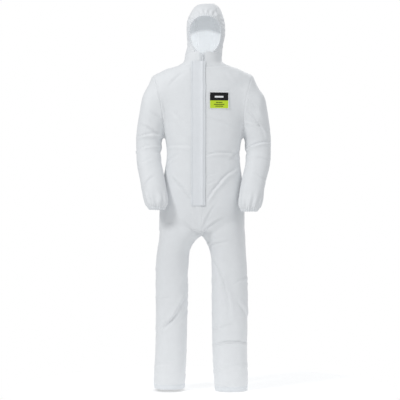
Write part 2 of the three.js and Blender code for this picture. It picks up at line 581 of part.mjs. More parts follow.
// The pull hangs from a pin through the slider's crown.
const pinY = plateFace - 1.35;
const pin = new THREE.CylinderGeometry(0.65, 0.65, 7, 12).rotateZ(Math.PI / 2);
let pull = solidOf(pin.translate(0, pinY, crownMiddle));
for (const edge of [-1, 1]) {
  const across = [edge * 1.6, edge * 3.5].sort((a, b) => a - b);
  const [low, high] = [crownMiddle - 8, crownMiddle + 0.6];
  pull = pull.add(block([across[0], pinY - 0.6, low], [across[1], pinY + 0.6, high]));
}
const grip = block(
  [-3.5, pinY - 0.6, crownMiddle - PULL_LENGTH],
  [3.5, pinY + 0.6, crownMiddle - 6.5],
);
const gripHole = new THREE.CylinderGeometry(1.5, 1.5, 6, 14);
gripHole.translate(0, pinY, crownMiddle - PULL_LENGTH + 4);
addZip("zip_pull", pull.add(grip.subtract(solidOf(gripHole))), ZIP_PLASTIC);

// The storm flap arches over the slider, from a seam to the wearer's right of the zip.
const flapFoot = -8;
const flapHead = crownMiddle - PULL_LENGTH - 6;
const flapCurve = (offset) => [
  [FLAP_HINGE_X, -1.5], [FLAP_HINGE_X + 10, -FLAP_RISE * 0.62], [FLAP_HINGE_X + 24, -FLAP_RISE * 0.92],
  [-3, -FLAP_RISE], [FLAP_EDGE_X - 4.5, -FLAP_RISE * 0.8], [FLAP_EDGE_X, -FLAP_RISE * 0.62],
].map(([x, y]) => new THREE.Vector2(x, y - offset));
const flapBetween = (inside, outside, low, high, from, to) => {
  const at = (offset) => new THREE.SplineCurve(flapCurve(offset)).getPoints(12)
    .filter((p) => p.x >= from - 0.01 && p.x <= to + 0.01);
  const section = new THREE.Shape([...at(outside), ...at(inside).reverse()]);
  const bar = new THREE.ExtrudeGeometry(section, { depth: high - low, bevelEnabled: false });
  return solidOf(bar.translate(0, 0, low));
};
addZip("storm_flap", flapBetween(0, FLAP_THICKNESS, flapFoot, flapHead, -100, 100), CLOTH);
addZip("flap_adhesive", flapBetween(-SEAT_GAP - 0.6, -SEAT_GAP, flapFoot + 6, flapHead - 6,
  FLAP_EDGE_X - ADHESIVE_WIDTH - 1.5, FLAP_EDGE_X), ADHESIVE);

// The folded seam that the flap turns on stands on the cloth all the way up.
const seamBlank = new THREE.BoxGeometry(FLAP_SEAM_WIDTH, 30, flapHead - flapFoot).translate(
  FLAP_HINGE_X - SEAT_GAP - FLAP_SEAM_WIDTH / 2, 15 - 1.5 - FLAP_THICKNESS, (flapHead + flapFoot) / 2);
const zipPlace = new THREE.Matrix4().makeRotationX(-zipLean)
  .setPosition(ZIP_X, ZIP_FOOT.y, ZIP_FOOT.height);
add("flap_seam", solidOf(seamBlank.applyMatrix4(zipPlace)).subtract(overSkin), HEM_CLOTH);

// ---------------------------------------------------------------- the assembly

const suit = new THREE.Group();
const garment = new THREE.Group();
garment.position.z = -NECK_HEIGHT;
suit.add(garment);
for (const [name, solid, look] of panels) {
  const mesh = new THREE.Mesh(geometryOf(solid), look);
  mesh.name = name;
  garment.add(mesh);
}

const zip = new THREE.Group();
zip.applyMatrix4(zipPlace);
garment.add(zip);
for (const [name, geometry, look] of zipParts) {
  const mesh = new THREE.Mesh(geometry, look);
  mesh.name = name;
  zip.add(mesh);
}

export default suit;
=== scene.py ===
import math

import bmesh
import bpy
import numpy as np
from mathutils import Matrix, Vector


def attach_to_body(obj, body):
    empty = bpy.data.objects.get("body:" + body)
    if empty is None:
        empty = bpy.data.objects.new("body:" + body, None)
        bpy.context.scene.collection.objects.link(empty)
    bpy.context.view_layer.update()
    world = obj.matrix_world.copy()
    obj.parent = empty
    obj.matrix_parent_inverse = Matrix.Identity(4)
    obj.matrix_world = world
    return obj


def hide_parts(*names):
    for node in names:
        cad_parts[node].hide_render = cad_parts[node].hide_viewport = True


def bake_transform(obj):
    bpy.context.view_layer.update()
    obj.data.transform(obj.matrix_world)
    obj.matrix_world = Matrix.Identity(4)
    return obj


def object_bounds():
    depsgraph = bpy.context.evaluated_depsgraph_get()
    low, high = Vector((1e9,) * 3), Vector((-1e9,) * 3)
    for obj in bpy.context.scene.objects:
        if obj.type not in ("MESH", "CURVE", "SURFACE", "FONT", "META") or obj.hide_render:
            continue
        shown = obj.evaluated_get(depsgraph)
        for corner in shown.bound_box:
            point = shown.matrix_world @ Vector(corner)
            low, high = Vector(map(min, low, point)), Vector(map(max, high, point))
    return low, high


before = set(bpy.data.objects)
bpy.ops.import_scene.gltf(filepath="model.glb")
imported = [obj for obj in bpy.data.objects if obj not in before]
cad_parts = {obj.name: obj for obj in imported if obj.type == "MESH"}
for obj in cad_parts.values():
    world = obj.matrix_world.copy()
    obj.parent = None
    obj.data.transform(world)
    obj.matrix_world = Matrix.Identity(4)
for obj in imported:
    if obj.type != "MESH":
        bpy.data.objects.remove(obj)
cad_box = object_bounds()

# A white hooded coverall, filled out as if worn. Shapes are worked out in millimetres, with
# heights measured up from the lower leg hem, and moved to the row frame when meshes are made.
NECK = 1512.0
ZIP_FOOT_H, ZIP_FOOT_Y = 866.0, -132.0
ZIP_HEAD_H, ZIP_HEAD_Y = 1571.0, -90.0
KNEE, INSEAM, ARMPIT, ELBOW, SHOULDER, WAIST = 490.0, 722.0, 1187.0, 1140.0, 1466.0, 1098.0
SIDE_Y = 6.0
SLOT_HALF = 14.9
CROTCH_X = -4.0
HEAD_X = 14.0
SLEEVE_SPLIT = 1172.0  # the visible sleeve divides here, above the elbow
SHIN_SPLIT = 548.0  # the visible leg divides here, above the knee
HEM = {-1: 10.0, 1: 0.0}
CUFF = {-1: 840.0, 1: 832.0}
HEM_BAND, CUFF_BAND, FACE_BAND = 22.0, 13.0, 9.0
VOXEL = 0.0065
CLOTH = 0.7  # thickness of the visible cloth

rng = np.random.default_rng(7)


def ease(a, b, v):
    t = np.clip((np.asarray(v, float) - a) / (b - a), 0, 1)
    return t * t * (3 - 2 * t)


def row_frame(p):
    """Millimetres and heights to metres in the row frame."""
    return (np.asarray(p, float) - (0, 0, NECK)) / 1000


def noise(p, seed):
    """Smooth noise from -1 to 1, one lattice cell to a unit."""
    cell = np.floor(p).astype(np.int64)
    part = p - cell
    part = part * part * (3 - 2 * part)
    total = np.zeros(len(p))
    for corner in np.ndindex(2, 2, 2):
        c = cell + corner
        key = c[:, 0] * 73856093 ^ c[:, 1] * 19349663 ^ c[:, 2] * 83492791 ^ seed * 2654435761
        key = (key ^ (key >> 13)) * 1274126177 & 0x7FFFFFFF
        key = (key ^ (key >> 15)) * 668265263 & 0x7FFFFFFF
        weight = np.prod(np.where(corner, part, 1 - part), axis=1)
        total += weight * ((key >> 8) % 65536 / 32768.0 - 1)
    return total


def between(rows, h):
    """A smooth row of numbers at each height, between rows sorted by height."""
    r = np.asarray(rows, float)
    at = r[:, 0]
    k = np.arange(len(r))
    low, high = np.maximum(k - 1, 0), np.minimum(k + 1, len(r) - 1)
    slope = (r[high] - r[low]) / (at[high] - at[low])[:, None]
    h = np.atleast_1d(np.asarray(h, float))
    i = np.clip(np.searchsorted(at, h) - 1, 0, len(r) - 2)
    span = (at[i + 1] - at[i])[:, None]
    t = np.clip((h - at[i])[:, None] / span, 0, 1)
    s = t * t * (3 - 2 * t)
    out = r[i] * (1 - s) + r[i + 1] * s
    out += span * (slope[i] * t * (1 - t) ** 2 - slope[i + 1] * t * t * (1 - t))
    below = h < at[0]
    out[below] = r[0] + slope[0] * (h[below] - at[0])[:, None]
    return out


def front_line(h):
    return ZIP_FOOT_Y + (ZIP_HEAD_Y - ZIP_FOOT_Y) * (h - ZIP_FOOT_H) / (ZIP_HEAD_H - ZIP_FOOT_H)


# Rows of the body: height, middle, half width, back, squareness. The front is the zip's line.
BODY = [
    (744, -3, 200, 126, 2.4), (810, -3, 200, 132, 2.4), (870, -2, 199, 130, 2.4),
    (968, 0, 187, 119, 2.4), (1098, 3, 171, 98, 2.4), (1187, 4, 184, 112, 2.4),
    (1300, 4, 210, 124, 2.4), (1400, 2, 246, 122, 2.2), (1443, 0, 252, 112, 2.0),
    (1454, 0, 247, 108, 1.9), (1466, 0, 233, 104, 1.8), (1480, 0, 205, 99, 1.7),
    (1494, 0, 166, 94, 1.65), (1508, 0, 121, 87, 1.8), (1523, 0, 91, 82, 2.1),
    (1540, 1, 86, 80, 2.2), (1569, 4, 85, 86, 2.2),
]
BODY = [(h, x, half, front_line(h) if h >= ZIP_FOOT_H else -131, back, p) for h, x, half, back, p in BODY]
BODY[0] = BODY[0][:3] + (-120,) + BODY[0][4:]
HOOD = [
    (1603, 10, 82, -95, 98, 2.2), (1651, 14, 88, -98, 113, 2.3), (1695, 14, 88, -100, 118, 2.3),
    (1725, 14, 83, -98, 114, 2.3), (1751, 15, 73, -86, 100, 2.3), (1774, 16, 62, -68, 82, 2.3),
    (1792, 17, 46, -42, 54, 2.3), (1798, 17, 34, -28, 38, 2.3),
]
BODY += HOOD


def arm_rows(side):
    elbow, cuff = {-1: (250, 211), 1: (258, 215)}[side]
    foot = CUFF[side]
    rows = [
        (foot, cuff - 1, 33, 1, 36), (foot + 13, cuff, 44, 0.97, 45), (foot + 32, cuff + 2, 52, 0.93, 53),
        (foot + 65, cuff + 8, 56, 0.83, 57), (foot + 127, cuff + 19, 57, 0.62, 58),
        (1040, elbow - 5, 58, 0.33, 63), (1100, elbow + 1, 59, 0.1, 66),
        (1140, elbow, 62, -2 / 140, 70), (1187, elbow - 5, 66, -6 / 140, 74),
        (1240, elbow - 14, 69, -6 / 140, 78), (1300, elbow - 29, 73, -4 / 140, 82),
        (1360, elbow - 43, 74, -4 / 140, 82), (1400, 195, 70, -4 / 140, 75), (1430, 180, 66, -4 / 140, 63),
    ]
    return [(h, side * x, half, -140 * s - d, -140 * s + d, 2.2) for h, x, half, s, d in rows]


def leg_rows(side):
    knee, half, hem, hem_half = {-1: (142, 75, 156, 70), 1: (127, 84, 132, 74)}[side]
    foot, split = HEM[side], side * CROTCH_X
    thigh = knee - half - 9
    shin, shin_half = (hem + knee) / 2 - 2, (hem_half + half) / 2 + 1
    rows = [
        (foot, hem - hem_half, hem + hem_half, -78, 82),
        (foot + 42, hem - hem_half - 3, hem + hem_half + 3, -78, 84),
        (foot + 180, shin - shin_half, shin + shin_half, -75, 86),
        (350, knee + 2 - half, knee + half, -76, 86), (490, knee - half, knee + half, -86, 84),
        (580, knee - half - 1, knee + half - 1, -94, 98), (650, thigh, knee + half - 7, -106, 112),
        (700, (thigh + split) / 2, 202, -114, 122), (719, split + 5, 201, -117, 125),
        (744, split - 5, 198, -118, 124), (800, split - 5, 188, -106, 110),
    ]
    return [(h, side * (i + o) / 2, (o - i) / 2, f, b, 2.3) for h, i, o, f, b in rows]


def section(row, angle):
    """Points round one section of a tube."""
    _, x, half, front, back, power = row
    c, s = np.cos(angle), np.sin(angle)
    px = x + half * np.sign(c) * np.abs(c) ** (2 / power)
    py = (front + back) / 2 + (back - front) / 2 * np.sign(s) * np.abs(s) ** (2 / power)
    return px, py


def tube(rows, facets, run_out, shift=None):
    """A closed tube through level rings about 8 mm apart."""
    low, high = rows[0][0] - run_out, rows[-1][0]
    levels = np.linspace(low, high, int((high - low) / 8) + 2)
    angle = 2 * math.pi * (np.arange(facets) + 0.5) / facets
    points = []
    for h, row in zip(levels, between(rows, levels)):
        px, py = section(row, angle)
        if shift is not None:
            px = px + shift(h)
        points.append(np.c_[px, py, np.full(facets, h)])
    points = np.concatenate(points)
    n = len(levels)
    faces = [[r * facets + f, r * facets + (f + 1) % facets,
              (r + 1) * facets + (f + 1) % facets, (r + 1) * facets + f]
             for r in range(n - 1) for f in range(facets)]
    faces.append([f for f in range(facets)][::-1])
    faces.append([(n - 1) * facets + f for f in range(facets)])
    return points, faces


ARMS = {side: arm_rows(side) for side in (-1, 1)}
LEGS = {side: leg_rows(side) for side in (-1, 1)}
OPEN = 46.0  # the sleeves are moved out by this while the skin is made, so that they stay apart from the body


def opened(h):
    return OPEN * (1 - ease(ARMPIT - 75, ARMPIT, h))


def armpit_x(side):
    _, tx, th = between(BODY, ARMPIT)[0][:3]
    _, sx, sh = between(ARMS[side], ARMPIT)[0][:3]
    return side * (tx + side * th + sx - side * sh) / 2


def make_skin():
    """One closed skin round the body, arms and legs, as vertices and quads in millimetres."""
    points, faces = [], []
    tubes = [tube(BODY, 160, 0)]
    for side in (-1, 1):
        tubes.append(tube(ARMS[side], 72, 26, lambda h, s=side: s * opened(h)))
        tubes.append(tube(LEGS[side], 88, 26))
    for p, f in tubes:
        base = sum(len(q) for q in points)
        points.append(p)
        faces += [[v + base for v in face] for face in f]
    mesh = bpy.data.meshes.new("skin_source")
    mesh.from_pydata((np.concatenate(points) / 1000).tolist(), [], faces)
    source = bpy.data.objects.new("skin_source", mesh)
    bpy.context.scene.collection.objects.link(source)
    remesh = source.modifiers.new("remesh", "REMESH")
    remesh.mode = "VOXEL"
    remesh.voxel_size = VOXEL
    bpy.context.view_layer.update()
    made = bpy.data.meshes.new_from_object(source.evaluated_get(bpy.context.evaluated_depsgraph_get()))
    bpy.data.objects.remove(source)
    return made


def arrays(mesh):
    co = np.empty(len(mesh.vertices) * 3, np.float32)
    mesh.vertices.foreach_get("co", co)
    mesh.calc_loop_triangles()
    tri = np.empty(len(mesh.loop_triangles) * 3, np.int32)
    mesh.loop_triangles.foreach_get("vertices", tri)
    return co.reshape(-1, 3).astype(float) * 1000, tri.reshape(-1, 3).astype(np.int64)


def edges_of(tri):
    e = np.sort(np.concatenate([tri[:, [0, 1]], tri[:, [1, 2]], tri[:, [2, 0]]]), axis=1)
    return np.unique(e, axis=0)


def taubin(points, tri, rounds):
    """Smooths without shrinking."""
    e = edges_of(tri)
    n = len(points)
    count = np.bincount(e.ravel(), minlength=n)[:, None]
    for step in range(rounds * 2):
        total = np.stack([np.bincount(e[:, 0], points[e[:, 1], k], n)
                          + np.bincount(e[:, 1], points[e[:, 0], k], n)
                          for k in range(3)], axis=1)
        points = points + (0.5 if step % 2 == 0 else -0.52) * (total / count - points)
    return points


def normals_of(points, tri):
    a, b, c = points[tri[:, 0]], points[tri[:, 1]], points[tri[:, 2]]
    f = np.cross(b - a, c - a)
    n = np.zeros_like(points)
    for k in range(3):
        for j in range(3):
            n[:, j] += np.bincount(tri[:, k], f[:, j], len(points))
    return n / np.maximum(np.linalg.norm(n, axis=1), 1e-12)[:, None]


# ---------------------------------------------------------------- seams as level lines of fields

FACE_OUTLINE = None


def face_outline():
    """The hood's opening for the face, in x and height about the middle of the hood."""
    def curve(p0, p1, p2, p3, n=24):
        t = np.linspace(0, 1, n, endpoint=False)[:, None]
        p0, p1, p2, p3 = map(np.array, (p0, p1, p2, p3))
        return (1 - t) ** 3 * p0 + 3 * t * (1 - t) ** 2 * p1 + 3 * t * t * (1 - t) * p2 + t ** 3 * p3
    right = np.concatenate([
        curve((33, 1569), (53, 1581), (72, 1611), (72, 1667)),
        curve((72, 1667), (72, 1703), (42, 1731), (0, 1731)),
    ])
    left = right[::-1] * (-1, 1)
    start = np.array([[-33.0, 1440.0], [33.0, 1440.0]])
    return np.concatenate([start, right, left]) + (HEAD_X - 1, 0)


def outline_distance(p, outline):
    """Signed distance from points to a closed outline, positive outside."""
    best = np.full(len(p), 1e9)
    inside = np.zeros(len(p), bool)
    for a, b in zip(outline, np.roll(outline, -1, axis=0)):
        d = b - a
        t = np.clip(((p - a) @ d) / max(d @ d, 1e-9), 0, 1)[:, None]
        best = np.minimum(best, np.linalg.norm(p - a - t * d, axis=1))
        crosses = (a[1] > p[:, 1]) != (b[1] > p[:, 1])
        with np.errstate(divide="ignore", invalid="ignore"):
            x = a[0] + (p[:, 1] - a[1]) * d[0] / d[1]
        inside ^= crosses & (p[:, 0] < x)
    return np.where(inside, -best, best)


def fields_of(p, opened_x):
    """The seams and edges of the garment, each as a field that is zero along it. Distances in mm."""
    x, y, h = p.T
    f = {}
    f["hood"] = (h - 1535 + (y - 82) * (34 / 172)) / math.hypot(1, 34 / 172)
    f["collar"] = (h - NECK - 0.16 * y) / math.hypot(1, 0.16)
    f["side"] = y - SIDE_Y
    middle = np.where(h < ZIP_FOOT_H, CROTCH_X * ease(ZIP_FOOT_H, INSEAM, h), 0)
    f["middle"] = x - middle
    for side, name in ((-1, "right"), (1, "left")):
        share = np.clip((SHOULDER - h) / (SHOULDER - ARMPIT), 0, 1)
        shoulder = 233 + (armpit_x(side) - 233) * share ** 0.8 - 10 * np.sin(math.pi * share)
        torso = between(BODY, np.clip(h, 744, ARMPIT))
        sleeve = between(ARMS[side], np.clip(h, CUFF[side] - 30, ARMPIT))
        edge = side * torso[:, 1] + torso[:, 2]
        inner = side * sleeve[:, 1] - sleeve[:, 2] + opened(h)
        low = (edge + inner) / 2 + np.where(h < CUFF[side] - 30, 200, 0)
        f[name + "_arm"] = side * opened_x - np.where(h < ARMPIT, low, shoulder)
    arm = np.maximum(f["right_arm"], f["left_arm"]) > 0
    side = np.where(x < 0, -1, 1)
    cuff = np.where(side < 0, CUFF[-1], CUFF[1])
    hem = np.where(side < 0, HEM[-1], HEM[1])
    f["cuff"] = np.where(arm & (h < ARMPIT), h - cuff, 1000)
    f["cuff_band"] = np.where(arm & (h < ARMPIT), h - cuff - CUFF_BAND, 1000)
    f["sleeve"] = np.where(arm & (h < ARMPIT - 2), h - SLEEVE_SPLIT, 1000)
    f["inseam"] = h - INSEAM
    f["shin"] = np.where(arm, 1000, h - SHIN_SPLIT)
    f["hem"] = h - hem
    f["hem_band"] = h - hem - HEM_BAND
    front = y < -10
    f["face"] = np.full(len(p), 1000.0)
    near = front & (h > 1480)
    f["face"][near] = outline_distance(p[near][:, [0, 2]], FACE_OUTLINE)
    f["face_edge"] = np.where(f["hood"] > -2, f["face"], 1000)
    back_half = 45 - 11 * np.clip((1789 - h) / 277, 0, 1)
    front_half = 45 + 27 * np.clip((1789 - h) / 105, 0, 1) - np.clip(1684 - h, 0, 40)
    turn = ease(-25, 50, y)
    f["crown"] = np.abs(x - HEAD_X) - (front_half * (1 - turn) + back_half * turn)
    f["slot"] = np.abs(x) - SLOT_HALF
    return f, arm


FACE_OUTLINE = face_outline()


def back_x(points):
    """The sleeves' x once they are moved back in, from x with the sleeves moved out."""
    x, _, h = points.T
    p = points.copy()
    for side in (-1, 1):
        torso = between(BODY, np.clip(h, 744, ARMPIT))
        sleeve = between(ARMS[side], np.clip(h, CUFF[side] - 30, ARMPIT))
        low = (side * torso[:, 1] + torso[:, 2] + side * sleeve[:, 1] - sleeve[:, 2] + opened(h)) / 2
        mine = (side * x > low) & (h < ARMPIT) & (h > 790)
        p[mine, 0] -= side * opened(h[mine])
    return p


skin_mesh = make_skin()
bm = bmesh.new()
bm.from_mesh(skin_mesh)
for band in (9.0, 4.5):
    wide = np.array([v.co for v in bm.verts]) * 1000
    fields, arm = fields_of(back_x(wide), wide[:, 0])
    x, y, h = wide.T
    body = ~arm
    fine = np.zeros(len(wide), bool)
    fine |= (fields["cuff"] < (80 if band > 5 else 34)) & (fields["cuff"] > -8)
    fine |= (fields["face_edge"] < band * 3 + 14) & (fields["face_edge"] > -9)
    fine |= body & (np.abs(h - WAIST) < (60 if band > 5 else 22)) & (y > 0)
    if band > 5:
        trunk = body & (h > 700) & (h < NECK + 20)
        fine |= body & (h < 1540) & (np.abs(fields["side"]) < band)
        fine |= (np.abs(np.maximum(fields["right_arm"], fields["left_arm"])) < band) & (h > ARMPIT - 8)
        fine |= trunk & (np.abs(fields["middle"]) < band) & ((y > 0) | (h < ZIP_FOOT_H))
        fine |= (np.abs(fields["hood"]) < band) | (np.abs(fields["collar"]) < band) & body
        fine |= (np.abs(fields["crown"]) < band) & (fields["hood"] > 0)
        fine |= np.abs(fields["hem_band"] + 11) < 17
    fine |= (fields["slot"] < 7) & (fields["slot"] > -4) & (y < 0) & (h > ZIP_FOOT_H - 10) & (h < ZIP_HEAD_H)
    bm.verts.ensure_lookup_table()
    chosen = [e for e in bm.edges if fine[e.verts[0].index] and fine[e.verts[1].index]]
    bmesh.ops.subdivide_edges(bm, edges=chosen, cuts=1, use_grid_fill=True)
    bm.verts.index_update()
bm.to_mesh(skin_mesh)
bm.free()
wide, triangles = arrays(skin_mesh)
bpy.data.meshes.remove(skin_mesh)
wide = taubin(wide, triangles, 7)
# The sleeve head is eased into the shoulder, so that the line over it runs on.
edge_list = edges_of(triangles)
start_fields, _ = fields_of(back_x(wide), wide[:, 0])
near_head = np.minimum(np.abs(start_fields["right_arm"]), np.abs(start_fields["left_arm"]))
ease_in = (ease(75, 30, near_head) * ease(ARMPIT + 20, ARMPIT + 110, wide[:, 2]))[:, None]
degree = np.bincount(edge_list.ravel(), minlength=len(wide))[:, None]
for _ in range(70):
    mean = np.zeros_like(wide)
    np.add.at(mean, edge_list[:, 0], wide[edge_list[:, 1]])
    np.add.at(mean, edge_list[:, 1], wide[edge_list[:, 0]])
    wide = wide + 0.6 * ease_in * (mean / np.maximum(degree, 1) - wide)
rest = back_x(wide)
rest_normals = normals_of(rest, triangles)
fields, is_arm = fields_of(rest, wide[:, 0])
print("skin", len(rest), "points", len(triangles), "triangles")

# ---------------------------------------------------------------- folds


# Creases of the front, read off the photograph: two ends as x and height, width, depth,
# which side the ridge is on, and where it lies. All in millimetres.
CREASE_DEPTH = 1.6
FRONT_CREASES = [
    ((16, 1093), (175, 1091), 8, 3.6, -1, "trunk"),
    ((-170, 1135), (-12, 1117), 9, 1.6, -1, "trunk"),
    ((12, 874), (147, 1024), 9, 4.2, -1, "trunk"),
    ((-133, 977), (-26, 828), 9, 3.0, 1, "trunk"),
    ((16, 991), (72, 1005), 5, 1.6, -1, "trunk"),
    ((16, 949), (82, 977), 5, 1.8, -1, "trunk"),
    ((214, 1322), (191, 1154), 9, 3.2, 1, "trunk"),
    ((-194, 1369), (-161, 1154), 9, 1.8, -1, "trunk"),
    ((-7, 725), (-96, 790), 8, 2.6, -1, "trunk"),
    ((-2, 725), (91, 795), 8, 2.6, 1, "trunk"),
    ((-12, 744), (-58, 856), 7, 1.8, -1, "trunk"),
    ((2, 744), (54, 860), 7, 1.8, 1, "trunk"),
    ((128, 1070), (189, 1117), 8, 2.2, 1, "trunk"),
    ((-175, 1052), (-114, 1089), 8, 1.6, -1, "trunk"),
    ((26, 1257), (156, 1201), 12, 1.5, 1, "trunk"),
    ((-142, 1294), (-58, 1187), 12, 1.4, -1, "trunk"),
    ((-152, 1415), (-77, 1471), 10, 1.6, 1, "trunk"),
    ((166, 1406), (100, 1471), 10, 1.4, -1, "trunk"),
    ((-49, 650), (-86, 478), 13, 3.4, -1, "leg"),
    ((-68, 445), (-208, 273), 11, 4.8, -1, "leg"),
    ((-100, 375), (-184, 305), 8, 2.6, -1, "leg"),
    ((-58, 408), (-114, 315), 8, 2.2, 1, "leg"),
    ((-245, 110), (-96, 152), 10, 1.6, -1, "leg"),
    ((-217, 417), (-152, 436), 10, 1.8, 1, "leg"),
    ((49, 595), (124, 357), 12, 4.4, 1, "leg"),
    ((166, 408), (217, 310), 12, 3.6, 1, "leg"),
    ((54, 217), (208, 226), 7, 4.2, -1, "leg"),
    ((147, 497), (221, 534), 7, 2.4, -1, "leg"),
    ((63, 100), (208, 128), 10, 1.4, -1, "leg"),
    ((54, 277), (138, 315), 8, 2.4, 1, "leg"),
    ((16, 660), (110, 697), 9, 2.0, 1, "leg"),
    ((-301, 1177), (-184, 1187), 7, 4.2, -1, "arm"),
    ((-282, 1229), (-180, 1159), 7, 2.8, 1, "arm"),
    ((-305, 1112), (-194, 1145), 7, 2.8, -1, "arm"),
    ((-249, 1294), (-180, 1229), 8, 2.0, 1, "arm"),
    ((-310, 1033), (-235, 1079), 8, 2.0, -1, "arm"),
    ((-277, 930), (-221, 996), 8, 2.0, 1, "arm"),
    ((208, 1294), (287, 1159), 8, 3.4, 1, "arm"),
    ((212, 1247), (305, 1191), 8, 2.8, -1, "arm"),
    ((203, 1126), (305, 1149), 7, 4.0, -1, "arm"),
    ((231, 1079), (315, 1061), 8, 2.2, 1, "arm"),
    ((235, 1014), (305, 958), 8, 2.2, -1, "arm"),
    ((208, 1350), (259, 1275), 8, 2.2, 1, "arm"),
]

# Creases nobody has seen: how many on each side, then ranges of x, height, length and slope in
# degrees, the depth, and where they lie.
HIDDEN_CREASES = [
    (7, (60, 190), (380, 600), (60, 130), (-25, 25), 3.2, "leg"),
    (4, (80, 180), (40, 200), (60, 120), (-18, 18), 2.0, "leg"),
    (7, (225, 285), (1040, 1240), (50, 100), (-35, 35), 3.0, "arm"),
    (4, (215, 250), (900, 1010), (50, 90), (-40, 40), 2.0, "arm"),
    (5, (30, 150), (760, 1000), (80, 160), (20, 70), 2.6, "trunk"),
    (5, (60, 200), (1180, 1430), (90, 180), (-80, -30), 2.4, "trunk"),
]


def crease(field, px, ph, start, end, width, depth, ridge, mask):
    """Adds a valley with a ridge beside it, fading at its ends."""
    a, b = np.array(start, float), np.array(end, float)
    d = b - a
    length = np.hypot(*d)
    d /= length
    along = (px - a[0]) * d[0] + (ph - a[1]) * d[1]
    across = (px - a[0]) * -d[1] + (ph - a[1]) * d[0]
    across = across - 0.06 * length * np.sin(math.pi * np.clip(along / length, 0, 1))
    near = (np.abs(across) < 4 * width) & (along > -0.2 * length) & (along < 1.2 * length)
    t = np.clip(along[near] / length, -0.15, 1.15)
    fade = np.sin(math.pi * (t + 0.15) / 1.3) ** 0.8
    u = across[near] * ridge / width
    spread = 0.7 + 0.5 * np.clip(t, 0, 1)
    shape = 0.75 * np.exp(-((u - 1.15) / spread) ** 2) - np.exp(-(u / (0.55 * spread)) ** 2)
    field[near] += CREASE_DEPTH * depth * fade * shape * mask[near]


